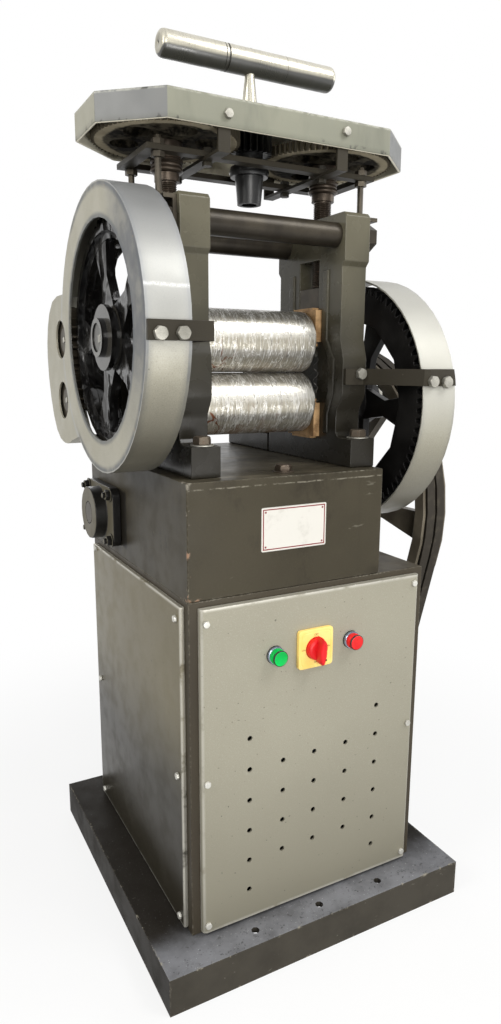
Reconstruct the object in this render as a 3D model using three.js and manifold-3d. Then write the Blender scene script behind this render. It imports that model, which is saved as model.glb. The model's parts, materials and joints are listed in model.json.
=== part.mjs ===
// Electric jewellers rolling mill on its motor stand.
// Millimetres, +Z up. The pieces are drawn about the mill's own axes: X runs along the rolls,
// with zero half way between the housings, Y runs to the rear, with zero on the roll axes,
// and Z rises from the floor. The finished group is then moved in X and Y, so that its origin
// lies under the middle of its box.

import * as THREE from 'three';
import { mergeVertices } from 'three/addons/utils/BufferGeometryUtils.js';
import Module from 'manifold-3d';

const wasm = await Module();
wasm.setup();

// Clearances
const seat = 0.3; // between pieces that rest on each other
const running = 0.3; // round a shaft in its bore
const backlash = 0.5; // taken off a gear tooth's thickness

// Base plinth
const baseWidth = 570;
const baseDepth = 588;
const baseHeight = 64;
const basePlate = 10;
const baseSkirt = 9;
const baseLeft = -250;
const baseFront = -227;
const anchorHole = 14;
const anchorPitch = 124;
const anchorInset = 28;

// Lower cabinet
const cabinetWidth = 442;
const cabinetDepth = 478;
const cabinetHeight = 561;
const cabinetWall = 5;
const cabinetLeft = -185;
const cabinetFront = -163;
const panelMargin = 15;
const panelFoot = 6;
const panelHead = 10;
const panelSheet = 3;
const frontPanelDepth = 11;
const leftPanelDepth = 7;
const panelLap = 24;
const panelCorner = 7;

// Pedestal box that carries the mill
const pedestalWidth = 348;
const pedestalHeight = 163;
const pedestalWall = 8;
const topPlate = 14;

// Rolls
const rollDiameter = 101.6;
const rollLength = 203.2;
const rollGap = 0.6;
const rollHeight = 101.3;
const neckDiameter = 46;
const journalDiameter = 42;
const liftTravel = 8;

// Housings
const housingThickness = 47.5;
const housingHeight = 402;
const footReach = 135;
const footHeight = 47;
const neckHalf = 90;
const bulgeHalf = 106;
const columnHalf = 97;
const headHalf = 104;
const neckTop = 84;
const bulgeBottom = 121;
const bulgeTop = 174;
const columnBottom = 207;
const headDrop = 74;
const windowWidth = 60;
const windowFloor = 40;
const windowTop = 337;
const rollShoulder = 3.35;
const ribProud = 3;
const ribWidth = 14;
const ribLowOffset = 60;
const ribBulgeOffset = 75;
const ribHighOffset = 53;
const ribStartRise = 52;
const ribEndDrop = 84;
const tieRodDiameter = 39;
const tieRodOffset = 77;
const tieRodDrop = 33;
const tieNutAcross = 36;
const tieNutThickness = 19;

// Bearings of the rolls
const flangeThickness = 12;
const flangeHalf = 42;
const brassCover = 56;
const springOffset = 36;
const springDiameter = 10;
const springWire = 1.8;
const springTurns = 4;
const springPin = 5;
const springPinHeight = 7;
const blockHeight = 33;

// Roll gears
const gearModule = 5;
const bullTeeth = 78;
const pinionTeeth = 12;
const syncTeeth = 21;
const reductionTeeth = 60;
const counterTeeth = 23;
const bullRim = 140;
const bullHub = 40;
const rimInner = 143;
const rimStep = 153;
const rimOuter = 164;
const rimStepDepth = 11;
const rimDepth = 19;
const bullArms = 5;
const leftArmTurn = 74;
const rightArmTurn = 186;
const leftGearFace = 28;
const rightGearFace = 34;
const leftGearInner = 198;
const rightGearInner = 205;
const reductionFace = 18;
const reductionInner = 178.6;
const syncFace = 20;
const syncGap = 4;
const hubFlange = 49;
const hubCap = 29;
const crossShaft = 40;

// Rear bearing stands
const standGap = 4;
const standLength = 172;
const standFoot = 34;
const standHalf = 48;
const slotHalf = 30;
const carrierPlate = 12;
const carrierEnd = 38;

// Countershaft, pulleys and motor
const counterShaft = 40;
const counterOffset = 215;
const bearingBlock = 15;
const bearingWidth = 158;
const bearingTall = 108;
const bearingCollar = 97;
const bearingProud = 22;
const pulleyRadius = 309;
const pulleyInner = 316;
const pulleyRim = 24;
const pulleyHub = 50;
const pulleyArms = 6;
const pulleyArmTurn = 186;
const beltWidth = 19;
const beltNarrow = 13;
const beltHeight = 11;
const beltPitch = 23;
const beltProud = 4;
const grooveEdge = 6;
const motorPulley = 46;
const motorOffset = 79;
const motorAxisHeight = 126;
const motorRadius = 78;
const motorLength = 210;
const motorShaft = 28;

// Guards
const guardSheet = 3;
const guardClear = 1;
const guardRise = 7;
const leftGuardWidth = 63;
const rightGuardWidth = 66;
const guardMouth = 162;
const lobeRear = 331;
const lobeTop = 1084;
const lobeBottom = 824;
const lobeHole = 66;
const strapThickness = 5;
const strapHeight = 26;

// Screw gearing above the housings
const screwTeeth = 72;
const driveTeeth = 22;
const screwDiameter = 30;
const screwGearFace = 16;
const frameRise = 58;
const frameBar = 8;
const frameBarWidth = 20;
const frameHalfLength = 197;
const frameHalfDepth = 67;
const studDiameter = 10;
const studPlace = 177;
const studRow = 57;
const studNut = 17;
const studNutHeight = 8;
const studEnd = 5;
const bracketSheet = 6;
const bracketTopDrop = 4;
const bracketFootDrop = 53;
const bracketLedge = 8;
const bracketInset = 12;
const bracketReach = 18;
const collarRadius = 25;
const coverRise = 26;
const coverHeight = 40;
const coverHalfLength = 265;
const coverHalfDepth = 119;
const coverChamferX = 79;
const coverChamferY = 69;
const coverSheet = 4;
const coverStrapOffset = 100;
const coverStrapWidth = 19;
const coverStrapSheet = 4.5;

// Handle
const handleDiameter = 38.5;
const handleLength = 302;
const handleRound = 7;
const handleRise = 98;
const stemDiameter = 24;
const stemTop = 16;
const handleGroove = 1.2;

// Switch panel
const switchX = 28;
const switchDrop = 92;
const switchPlate = 65;
const lampPitch = 72;
const lampDiameter = 29;

// Heights and places that follow from the sizes above
const cabinetTop = baseHeight + cabinetHeight;
const pedestalTop = cabinetTop + pedestalHeight;
const deck = pedestalTop + topPlate;
const lowerAxis = deck + rollHeight;
const upperAxis = lowerAxis + rollDiameter + rollGap;
const housingInner = rollLength / 2 + rollShoulder + flangeThickness + seat;
const housingMid = housingInner + housingThickness / 2;
const housingOuter = housingInner + housingThickness;
const housingTop = deck + housingHeight;
const screwModule = (2 * housingMid) / (screwTeeth + driveTeeth);
const bullRadius = (gearModule * bullTeeth) / 2;
const bullTip = bullRadius + gearModule;
const pinionRadius = (gearModule * pinionTeeth) / 2;
const crossAxisY = bullRadius + pinionRadius;
const idlerAxis = lowerAxis + gearModule * syncTeeth;
const trainDistance = (gearModule * (reductionTeeth + counterTeeth)) / 2;
const counterAxis = lowerAxis - Math.sqrt(trainDistance ** 2 - (crossAxisY - counterOffset) ** 2);
const guardInner = bullTip + guardRise + guardClear;
const guardOuter = guardInner + guardSheet;
const leftGuardAxis = upperAxis + guardRise;
const cabinetRight = cabinetLeft + cabinetWidth;
const pedestalRight = cabinetLeft + pedestalWidth;
const cabinetRear = cabinetFront + cabinetDepth;
const frameBottom = housingTop + frameRise;
const coverBottom = frameBottom + coverRise;
const coverTop = coverBottom + coverHeight;
const handleAxis = coverTop + handleRise;
const motorAxis = baseHeight + motorAxisHeight;
const tieRodAxis = housingTop - tieRodDrop;
const leftGuardOuter = -(leftGearInner + leftGearFace + syncGap + syncFace + syncGap + guardSheet);
const pulleyWidth = 2 * grooveEdge + beltPitch + beltWidth + 2 * running;

// Finishes
const paint = (color, roughness = 0.45, metalness = 0.1) =>
  new THREE.MeshStandardMaterial({ color, roughness, metalness });
const metal = (color, roughness = 0.35) =>
  new THREE.MeshStandardMaterial({ color, roughness, metalness: 0.9 });
const finishes = {
  frame: paint(0x4a4740, 0.42),
  casting: paint(0x4c4840, 0.4),
  plinth: paint(0x3b3936, 0.6),
  panel: paint(0x7d7a6e, 0.38, 0.35),
  sidePanel: paint(0x5a574e, 0.28, 0.35),
  guard: paint(0x9a9a90, 0.42, 0.4),
  cover: paint(0x8b8f86, 0.45),
  gear: paint(0x17171a, 0.35, 0.4),
  pulley: paint(0x3a3a38, 0.5, 0.3),
  belt: paint(0x2c2b29, 0.8, 0),
  darkSteel: metal(0x3a3733, 0.4),
  brown: metal(0x5a4a3e, 0.5),
  nickel: metal(0xc9c5ba, 0.22),
  roll: metal(0xb0aea6, 0.25),
  bronze: metal(0xb08348, 0.45),
  spring: metal(0x6d6a66, 0.4),
  motor: paint(0x55636b, 0.5),
  yellow: paint(0xe0b545, 0.4, 0),
  red: paint(0xc4262a, 0.35, 0),
  green: paint(0x1b9a4a, 0.3, 0),
};

// Boolean work on closed meshes
function solid(geometry) {
  const bare = new THREE.BufferGeometry();
  bare.setAttribute('position', geometry.getAttribute('position').clone());
  if (geometry.index) bare.setIndex(geometry.index.clone());
  const welded = mergeVertices(bare, 1e-4);
  return new wasm.Manifold(
    new wasm.Mesh({
      numProp: 3,
      vertProperties: welded.getAttribute('position').array,
      triVerts: Uint32Array.from(welded.index.array),
    })
  );
}

function join(first, ...rest) {
  return rest.reduce((whole, piece) => whole.add(piece), first);
}

function cut(first, ...rest) {
  return rest.reduce((whole, piece) => whole.subtract(piece), first);
}

function geometryOf(body) {
  const mesh = body.getMesh();
  const geometry = new THREE.BufferGeometry();
  geometry.setAttribute('position', new THREE.BufferAttribute(mesh.vertProperties, 3));
  geometry.setIndex(new THREE.BufferAttribute(mesh.triVerts, 1));
  geometry.computeVertexNormals();
  return geometry;
}

const mill = new THREE.Group();

function add(name, body, finish) {
  const mesh = new THREE.Mesh(geometryOf(body), finishes[finish]);
  mesh.name = name;
  mill.add(mesh);
  return mesh;
}

// Simple forms, placed where they belong
function block(x0, x1, y0, y1, z0, z1) {
  const geometry = new THREE.BoxGeometry(x1 - x0, y1 - y0, z1 - z0);
  geometry.translate((x0 + x1) / 2, (y0 + y1) / 2, (z0 + z1) / 2);
  return solid(geometry);
}

// An outline in (Y, Z), carried along X
function alongX(shape, x0, x1, curveSegments = 6) {
  const geometry = new THREE.ExtrudeGeometry(shape, {
    depth: x1 - x0,
    bevelEnabled: false,
    curveSegments,
  });
  const turn = new THREE.Matrix4().makeBasis(
    new THREE.Vector3(0, 1, 0),
    new THREE.Vector3(0, 0, 1),
    new THREE.Vector3(1, 0, 0)
  );
  geometry.applyMatrix4(turn);
  geometry.translate(x0, 0, 0);
  return solid(geometry);
}

// An outline in (X, Z), carried along Y
function alongY(shape, y0, y1, curveSegments = 6) {
  const geometry = new THREE.ExtrudeGeometry(shape, {
    depth: y1 - y0,
    bevelEnabled: false,
    curveSegments,
  });
  const turn = new THREE.Matrix4().makeBasis(
    new THREE.Vector3(1, 0, 0),
    new THREE.Vector3(0, 0, 1),
    new THREE.Vector3(0, -1, 0)
  );
  geometry.applyMatrix4(turn);
  geometry.translate(0, y1, 0);
  return solid(geometry);
}

// An outline in (X, Y), carried along Z
function alongZ(shape, z0, z1, curveSegments = 6) {
  const geometry = new THREE.ExtrudeGeometry(shape, {
    depth: z1 - z0,
    bevelEnabled: false,
    curveSegments,
  });
  geometry.translate(0, 0, z0);
  return solid(geometry);
}

// A turned piece: radius and place pairs along an axis, from one end to the other
function turned(axis, profile, centre, sides = 20) {
  const points = profile.map(([radius, along]) => new THREE.Vector2(radius, along));
  const closes = points[0].x > 0;
  if (closes) points.push(points[0].clone());
  const geometry = new THREE.LatheGeometry(points, sides);
  if (axis === 'z') geometry.rotateX(Math.PI / 2);
  if (axis === 'x') geometry.rotateZ(-Math.PI / 2);
  geometry.translate(...centre);
  const body = solid(geometry);
  if (body.volume() > 0) return body;
  geometry.index.array.reverse();
  return solid(geometry);
}

function rodX(radius, x0, x1, y, z, sides = 20) {
  const profile = [
    [0, x0],
    [radius, x0],
    [radius, x1],
    [0, x1],
  ];
  return turned('x', profile, [0, y, z], sides);
}

function rodZ(radius, z0, z1, x, y, sides = 20) {
  const geometry = new THREE.CylinderGeometry(radius, radius, z1 - z0, sides);
  geometry.rotateX(Math.PI / 2);
  geometry.translate(x, y, (z0 + z1) / 2);
  return solid(geometry);
}

function rodY(radius, y0, y1, x, z, sides = 20) {
  const geometry = new THREE.CylinderGeometry(radius, radius, y1 - y0, sides);
  geometry.translate(x, (y0 + y1) / 2, z);
  return solid(geometry);
}

// A cutter for a round bore along X, with its flats at the radius asked for
function boreX(radius, x0, x1, y, z, sides = 20) {
  return rodX(radius / Math.cos(Math.PI / sides), x0, x1, y, z, sides);
}

const hexRadius = (acrossFlats) => acrossFlats / Math.sqrt(3);

// Outlines
function polygon(points) {
  return new THREE.Shape(points.map(([u, v]) => new THREE.Vector2(u, v)));
}

function rectangle(u0, u1, v0, v1) {
  return polygon([
    [u0, v0],
    [u1, v0],
    [u1, v1],
    [u0, v1],
  ]);
}

// A round hole whose flats stand at the radius asked for, so a round piece turns in it
function circleHole(u, v, radius, sides = 12) {
  const reach = radius / Math.cos(Math.PI / sides);
  const points = [];
  for (let side = 0; side < sides; side += 1) {
    const angle = (-2 * Math.PI * side) / sides;
    points.push(new THREE.Vector2(u + reach * Math.cos(angle), v + reach * Math.sin(angle)));
  }
  return new THREE.Path(points);
}

function roundedRectangle(u0, u1, v0, v1, r) {
  const shape = new THREE.Shape();
  shape.moveTo(u0 + r, v0);
  shape.lineTo(u1 - r, v0);
  shape.absarc(u1 - r, v0 + r, r, -Math.PI / 2, 0, false);
  shape.lineTo(u1, v1 - r);
  shape.absarc(u1 - r, v1 - r, r, 0, Math.PI / 2, false);
  shape.lineTo(u0 + r, v1);
  shape.absarc(u0 + r, v1 - r, r, Math.PI / 2, Math.PI, false);
  shape.lineTo(u0, v0 + r);
  shape.absarc(u0 + r, v0 + r, r, Math.PI, 1.5 * Math.PI, false);
  return shape;
}

// Spur gear outline with straight flanks drawn between the involute's root and tip.
// One tooth stands at the angle toothAt. Pointed gaps end in a line instead of a floor.
const pressureAngle = THREE.MathUtils.degToRad(20);
const involute = (angle) => Math.tan(angle) - angle;

function toothHalfAngle(module, teeth, radius) {
  const pitch = (module * teeth) / 2;
  const base = pitch * Math.cos(pressureAngle);
  const angle = Math.acos(Math.min(1, base / Math.max(radius, base)));
  const half = Math.PI / (2 * teeth) - backlash / (2 * pitch);
  return half + involute(pressureAngle) - involute(angle);
}

function gearOutline(module, teeth, toothAt, centreU, centreV, pointed = false) {
  const root = (module * teeth) / 2 - 1.25 * module;
  const tip = (module * teeth) / 2 + module;
  const deepest = (module * teeth) / 2 - 2 * module;
  const rootHalf = toothHalfAngle(module, teeth, root);
  const tipHalf = toothHalfAngle(module, teeth, tip);
  const points = [];
  for (let tooth = 0; tooth < teeth; tooth += 1) {
    const middle = toothAt + (tooth * 2 * Math.PI) / teeth;
    const corners = [
      [tip, -tipHalf],
      [tip, tipHalf],
    ];
    if (pointed) corners.push([deepest, Math.PI / teeth]);
    else corners.push([root, rootHalf], [root, (2 * Math.PI) / teeth - rootHalf]);
    for (const [radius, offset] of corners) {
      const angle = middle + offset;
      points.push([centreU + radius * Math.cos(angle), centreV + radius * Math.sin(angle)]);
    }
  }
  return polygon(points);
}

// A flat strap bent along a line of corners in (X, Y), with its height along Z
function bentStrap(corners, sheet, z0, z1) {
  const inner = [];
  const outer = [];
  corners.forEach(([x, y], index) => {
    const before = corners[Math.max(index - 1, 0)];
    const after = corners[Math.min(index + 1, corners.length - 1)];
    const way1 = new THREE.Vector2(x - before[0], y - before[1]);
    const way2 = new THREE.Vector2(after[0] - x, after[1] - y);
    if (way1.length() === 0) way1.copy(way2);
    if (way2.length() === 0) way2.copy(way1);
    way1.normalize();
    way2.normalize();
    const across = new THREE.Vector2(way1.y + way2.y, -(way1.x + way2.x)).normalize();
    const stretch = sheet / across.dot(new THREE.Vector2(way1.y, -way1.x));
    inner.push([x, y]);
    outer.unshift([x + across.x * stretch, y + across.y * stretch]);
  });
  const outline = polygon([...inner, ...outer]);
  if (THREE.ShapeUtils.isClockWise(outline.getPoints())) {
    outline.curves = polygon([...inner, ...outer].reverse()).curves;
  }
  return alongZ(outline, z0, z1);
}

// Stand: a folded tray, a cabinet open below, its two panels and the pedestal box
const baseRight = baseLeft + baseWidth;
const baseRear = baseFront + baseDepth;
const trayHoles = [];
for (const place of [-anchorPitch, 0, anchorPitch]) {
  const x = (baseLeft + baseRight) / 2 + place;
  for (const y of [baseFront + anchorInset, baseRear - anchorInset]) {
    trayHoles.push(rodZ(anchorHole / 2, 0, baseHeight + 1, x, y, 8));
  }
}
add(
  'base_plinth',
  cut(
    block(baseLeft, baseRight, baseFront, baseRear, 0, baseHeight),
    block(
      baseLeft + baseSkirt,
      baseRight - baseSkirt,
      baseFront + baseSkirt,
      baseRear - baseSkirt,
      -1,
      baseHeight - basePlate
    ),
    ...trayHoles
  ),
  'plinth'
);

const cabinetBottom = baseHeight + seat;
const openingBottom = baseHeight + panelFoot + panelLap;
const openingTop = cabinetTop - panelHead - panelLap;
add(
  'cabinet_shell',
  cut(
    block(cabinetLeft, cabinetRight, cabinetFront, cabinetRear, cabinetBottom, cabinetTop),
    block(
      cabinetLeft + cabinetWall,
      cabinetRight - cabinetWall,
      cabinetFront + cabinetWall,
      cabinetRear - cabinetWall,
      0,
      cabinetTop - cabinetWall
    ),
    block(
      cabinetLeft + panelMargin + panelLap,
      cabinetRight - panelMargin - panelLap,
      cabinetFront - 1,
      cabinetFront + 2 * cabinetWall,
      openingBottom,
      openingTop
    ),
    block(
      cabinetLeft - 1,
      cabinetLeft + 2 * cabinetWall,
      cabinetFront + panelMargin + panelLap,
      cabinetRear - panelMargin - panelLap,
      openingBottom,
      openingTop
    ),
    rodX(motorShaft, cabinetRight - 2 * cabinetWall, cabinetRight + 1, motorOffset, motorAxis, 20)
  ),
  'frame'
);

// A panel is a shallow tray with rounded upright edges, its open side against the cabinet
function panelTray(u0, u1, depth, z0, z1, sheet, corner) {
  const outline = new THREE.Shape();
  outline.moveTo(u0, 0);
  outline.lineTo(u0, -depth + corner);
  outline.absarc(u0 + corner, -depth + corner, corner, Math.PI, 1.5 * Math.PI, false);
  outline.lineTo(u1 - corner, -depth);
  outline.absarc(u1 - corner, -depth + corner, corner, -Math.PI / 2, 0, false);
  outline.lineTo(u1, 0);
  return cut(
    alongZ(outline, z0, z1, 4),
    block(u0 + sheet, u1 - sheet, -depth + sheet, 1, z0 + sheet, z1 - sheet)
  );
}

const panelBottom = baseHeight + panelFoot;
const panelTop = cabinetTop - panelHead;
const switchAxis = panelTop - switchDrop;
const frontPanelFace = cabinetFront - seat - frontPanelDepth;
const frontPanel = panelTray(
  cabinetLeft + panelMargin,
  cabinetRight - panelMargin,
  frontPanelDepth,
  panelBottom,
  panelTop,
  panelSheet,
  panelCorner
).translate([0, cabinetFront - seat, 0]);
const lampNeck = lampDiameter / 2 - 4;
const knobShaft = 6;
const controlHoles = [
  [switchX - lampPitch, lampNeck],
  [switchX, knobShaft],
  [switchX + lampPitch, lampNeck],
].map(([x, radius]) =>
  rodY(radius + seat, frontPanelFace - 1, frontPanelFace + 2 * panelSheet, x, switchAxis, 20)
);
add('front_panel', cut(frontPanel, ...controlHoles), 'panel');

add(
  'left_panel',
  panelTray(
    cabinetFront + panelMargin,
    cabinetRear - panelMargin,
    leftPanelDepth,
    panelBottom,
    panelTop,
    panelSheet - 1,
    panelSheet
  )
    .rotate([0, 0, -90])
    .mirror([0, 1, 0])
    .translate([cabinetLeft - seat, 0, 0]),
  'sidePanel'
);

const pedestalBottom = cabinetTop + seat;
const shaftHole = counterShaft / 2 + 2;
add(
  'pedestal_box',
  cut(
    block(cabinetLeft, pedestalRight, cabinetFront, cabinetRear, pedestalBottom, deck),
    block(
      cabinetLeft + pedestalWall,
      pedestalRight - pedestalWall,
      cabinetFront + pedestalWall,
      cabinetRear - pedestalWall,
      cabinetTop - 1,
      pedestalTop
    ),
    rodX(shaftHole, cabinetLeft - 1, pedestalRight + 1, counterOffset, counterAxis, 20)
  ),
  'frame'
);

const rodEnd = 12;
const threadBore = rodEnd + running + 0.2;

// Roll housings, each with a window for the bearings and a bore for the screw
const footBottom = deck + seat;

function housingOutline() {
  const right = [
    [footReach, footBottom],
    [footReach, deck + footHeight],
    [neckHalf + 12, deck + footHeight],
    [neckHalf + 4, deck + footHeight + 2],
    [neckHalf, deck + footHeight + 8],
    [neckHalf, deck + neckTop - 1],
    [neckHalf + 2, deck + neckTop + (bulgeBottom - neckTop) / 4],
    [(neckHalf + bulgeHalf) / 2, deck + (neckTop + bulgeBottom) / 2],
    [bulgeHalf - 2, deck + bulgeBottom - (bulgeBottom - neckTop) / 4],
    [bulgeHalf, deck + bulgeBottom],
    [bulgeHalf, deck + bulgeTop],
    [bulgeHalf - 2, deck + bulgeTop + (columnBottom - bulgeTop) / 4],
    [(bulgeHalf + columnHalf) / 2, deck + (bulgeTop + columnBottom) / 2],
    [columnHalf, deck + columnBottom],
    [columnHalf, housingTop - headDrop - 8],
    [headHalf, housingTop - headDrop],
    [headHalf, housingTop - 6],
    [headHalf - 6, housingTop],
  ];
  const left = right.map(([y, z]) => [-y, z]).reverse();
  const outline = polygon([...right, ...left]);
  const half = windowWidth / 2;
  const window = rectangle(-half, half, deck + windowFloor, deck + windowTop);
  outline.holes.push(new THREE.Path(window.getPoints().reverse()));
  for (const side of [-1, 1]) {
    outline.holes.push(circleHole(side * tieRodOffset, tieRodAxis, threadBore));
  }
  return outline;
}

// The raised line down each side of a housing's inner face
function housingRib(side) {
  const middle = [
    [ribLowOffset, deck + ribStartRise],
    [ribLowOffset, deck + neckTop],
    [ribBulgeOffset, deck + bulgeBottom],
    [ribBulgeOffset, deck + bulgeTop],
    [ribHighOffset, deck + columnBottom],
    [ribHighOffset, housingTop - ribEndDrop],
  ];
  const edge = (shift) => middle.map(([y, z]) => [side * (y + shift), z]);
  return polygon([...edge(ribWidth / 2), ...edge(-ribWidth / 2).reverse()]);
}

for (const [name, side] of [
  ['left_housing', -1],
  ['right_housing', 1],
]) {
  const x0 = Math.min(side * housingInner, side * housingOuter);
  const inner = side * housingInner;
  const ribStart = Math.min(inner, inner - side * ribProud) - (side > 0 ? 0 : 1);
  add(
    name,
    cut(
      join(
        alongX(housingOutline(), x0, x0 + housingThickness, 5),
        alongX(housingRib(-1), ribStart, ribStart + ribProud + 1),
        alongX(housingRib(1), ribStart, ribStart + ribProud + 1)
      ),
      rodZ(screwDiameter / 2 + 0.5, deck + windowTop - 1, housingTop + 1, side * housingMid, 0, 18)
    ),
    'casting'
  );
}

// Tie rods, turned down at both ends and nutted outside the housings
const nutInner = housingOuter + 2 * seat + bracketSheet;
const nutOuter = nutInner + tieNutThickness - 5;
for (const [name, y] of [
  ['front_tie_rod', -tieRodOffset],
  ['rear_tie_rod', tieRodOffset],
]) {
  const body = housingInner - seat;
  const profile = [
    [0, -nutOuter - 2],
    [rodEnd, -nutOuter - 2],
    [rodEnd, -body],
    [tieRodDiameter / 2, -body],
    [tieRodDiameter / 2, body],
    [rodEnd, body],
    [rodEnd, nutOuter + 2],
    [0, nutOuter + 2],
  ];
  add(
    name,
    join(
      turned('x', profile, [0, y, tieRodAxis], 16),
      rodX(hexRadius(tieNutAcross), -nutOuter, -nutInner, y, tieRodAxis, 6),
      rodX(hexRadius(tieNutAcross), nutInner, nutOuter, y, tieRodAxis, 6)
    ),
    'darkSteel'
  );
}

// Flange bearings of the countershaft
for (const [name, wall, side, collar] of [
  ['left_flange_bearing', cabinetLeft, -1, true],
  ['right_flange_bearing', pedestalRight, 1, false],
]) {
  const near = wall + side * seat;
  const far = near + side * bearingBlock;
  const outline = roundedRectangle(
    counterOffset - bearingWidth / 2,
    counterOffset + bearingWidth / 2,
    counterAxis - bearingTall / 2,
    counterAxis + bearingTall / 2,
    16
  );
  const pieces = [alongX(outline, Math.min(near, far), Math.max(near, far), 3)];
  if (collar) {
    const face = far + side * bearingProud;
    pieces.push(rodX(bearingCollar / 2, face, near - 1, counterOffset, counterAxis, 20));
  }
  const bore = counterShaft / 2 + running;
  add(
    name,
    cut(join(...pieces), boreX(bore, wall - 60, wall + 60, counterOffset, counterAxis)),
    'gear'
  );
}

// Rolls
const neck = neckDiameter / 2;
const journal = journalDiameter / 2;
const neckEnd = housingOuter + 2;
const shoulder = rollLength / 2;
const hubFace = leftGearInner + leftGearFace + syncGap + syncFace;
const capFace = hubFace + 9;
const rightHubFace = rightGearInner + rightGearFace + 11;
const nutFace = rightHubFace + seat;
const gearNutAcross = 56;
const gearNutThickness = 12;
add(
  'upper_roll',
  turned(
    'x',
    [
      [0, -capFace + 2],
      [journal, -capFace + 2],
      [journal, -neckEnd - carrierPlate - 4],
      [neck, -neckEnd - carrierPlate - 4],
      [neck, -shoulder],
      [rollDiameter / 2, -shoulder],
      [rollDiameter / 2, shoulder],
      [neck, shoulder],
      [neck, neckEnd],
      [journal, neckEnd],
      [journal, neckEnd + 28],
      [0, neckEnd + 28],
    ],
    [0, 0, upperAxis],
    28
  ),
  'roll'
);
add(
  'lower_roll',
  join(
    turned(
      'x',
      [
        [0, -neckEnd - 23],
        [journal, -neckEnd - 23],
        [journal, -neckEnd],
        [neck, -neckEnd],
        [neck, -shoulder],
        [rollDiameter / 2, -shoulder],
        [rollDiameter / 2, shoulder],
        [neck, shoulder],
        [neck, neckEnd],
        [journal, neckEnd],
        [journal, nutFace + gearNutThickness + 3],
        [0, nutFace + gearNutThickness + 3],
      ],
      [0, 0, lowerAxis],
      24
    ),
    rodX(hexRadius(gearNutAcross), nutFace, nutFace + gearNutThickness, 0, lowerAxis, 6)
  ),
  'roll'
);

// Half bearings of bronze: a flange inside the housing and a body in its window
const bearingHalf = windowWidth / 2 - seat;
const flangeOuter = housingInner - seat;
const flangeInner = flangeOuter - flangeThickness;
const springMiddle = flangeOuter - flangeThickness / 2;
const chockTop = upperAxis + brassCover;
const chockBottom = deck + windowFloor + seat;
const bearingEnd = housingOuter - 3;

function halfBearing(side, split, end) {
  const upward = end > split;
  const z0 = Math.min(split, end);
  const z1 = Math.max(split, end);
  const flangeEnd = upward ? end - 4 : end + 4;
  const inner = side * flangeInner;
  const outer = side * flangeOuter;
  const pieces = [
    block(
      Math.min(inner, outer),
      Math.max(inner, outer),
      -flangeHalf,
      flangeHalf,
      Math.min(split, flangeEnd),
      Math.max(split, flangeEnd)
    ),
    block(
      Math.min(inner + side, side * bearingEnd),
      Math.max(inner + side, side * bearingEnd),
      -bearingHalf,
      bearingHalf,
      z0,
      z1
    ),
  ];
  const pinFar = upward ? split - springPinHeight : split + springPinHeight;
  const pinNear = upward ? split + 2 : split - 2;
  for (const y of [-springOffset, springOffset]) {
    const x = side * springMiddle;
    const low = Math.min(pinFar, pinNear);
    const high = Math.max(pinFar, pinNear);
    pieces.push(rodZ(springPin / 2, low, high, x, y, 8));
  }
  const roll = upward ? upperAxis : lowerAxis;
  return cut(join(...pieces), boreX(neck + running, -neckEnd - 1, neckEnd + 1, 0, roll, 28));
}

for (const [place, side] of [
  ['left', -1],
  ['right', 1],
]) {
  add(`${place}_lower_chock`, halfBearing(side, lowerAxis, chockBottom), 'bronze');
  add(`${place}_upper_chock`, halfBearing(side, upperAxis, chockTop), 'bronze');
  const blockBottom = chockTop + seat;
  add(
    `${place}_pressure_block`,
    block(
      side * housingMid - housingThickness / 2 + 1,
      side * housingMid + housingThickness / 2 - 1,
      -bearingHalf,
      bearingHalf,
      blockBottom,
      blockBottom + blockHeight
    ),
    'darkSteel'
  );
}

// Balance springs between the half bearings: the end coils lie close, the others are open
const springSteps = 8;
const springSides = 5;
const closePitch = springWire + 0.7;
const springLow = lowerAxis + seat;
const springHigh = upperAxis - seat;

function springHeight(turn) {
  const start = springLow + springWire / 2;
  const free = springHigh - springLow - springWire - 2 * closePitch;
  const open = free / springTurns;
  if (turn <= 1) return start + turn * closePitch;
  if (turn <= 1 + springTurns) return start + closePitch + (turn - 1) * open;
  return start + closePitch + free + (turn - 1 - springTurns) * closePitch;
}

function springBody(x, y) {
  const count = (springTurns + 2) * springSteps;
  const reach = (springDiameter - springWire) / 2;
  const positions = [];
  const faces = [];
  for (let step = 0; step <= count; step += 1) {
    const turn = step / springSteps;
    const angle = turn * 2 * Math.PI;
    for (let side = 0; side < springSides; side += 1) {
      const round = (side * 2 * Math.PI) / springSides;
      const out = reach + (springWire / 2) * Math.cos(round);
      const up = springHeight(turn) + (springWire / 2) * Math.sin(round);
      positions.push(x + out * Math.cos(angle), y + out * Math.sin(angle), up);
    }
  }
  for (let step = 0; step < count; step += 1) {
    for (let side = 0; side < springSides; side += 1) {
      const next = (side + 1) % springSides;
      const a = step * springSides + side;
      const b = step * springSides + next;
      faces.push(a, a + springSides, b, b, a + springSides, b + springSides);
    }
  }
  const last = count * springSides;
  for (let side = 1; side < springSides - 1; side += 1) {
    faces.push(0, side, side + 1);
    faces.push(last, last + side + 1, last + side);
  }
  const geometry = new THREE.BufferGeometry();
  geometry.setAttribute('position', new THREE.Float32BufferAttribute(positions, 3));
  geometry.setIndex(faces);
  const body = solid(geometry);
  if (body.volume() > 0) return body;
  geometry.index.array.reverse();
  return solid(geometry);
}

// Least gap from one coil of a spring to the next, over all its height
let leastGap = Infinity;
for (let step = 0; step <= (springTurns + 1) * springSteps; step += 1) {
  const turn = step / springSteps;
  leastGap = Math.min(leastGap, springHeight(turn + 1) - springHeight(turn) - springWire);
}
console.log(`least gap between coils of a spring: ${leastGap.toFixed(2)} mm`);

for (const [place, side] of [
  ['left', -1],
  ['right', 1],
]) {
  add(`${place}_front_spring`, springBody(side * springMiddle, -springOffset), 'spring');
  add(`${place}_rear_spring`, springBody(side * springMiddle, springOffset), 'spring');
}

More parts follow.
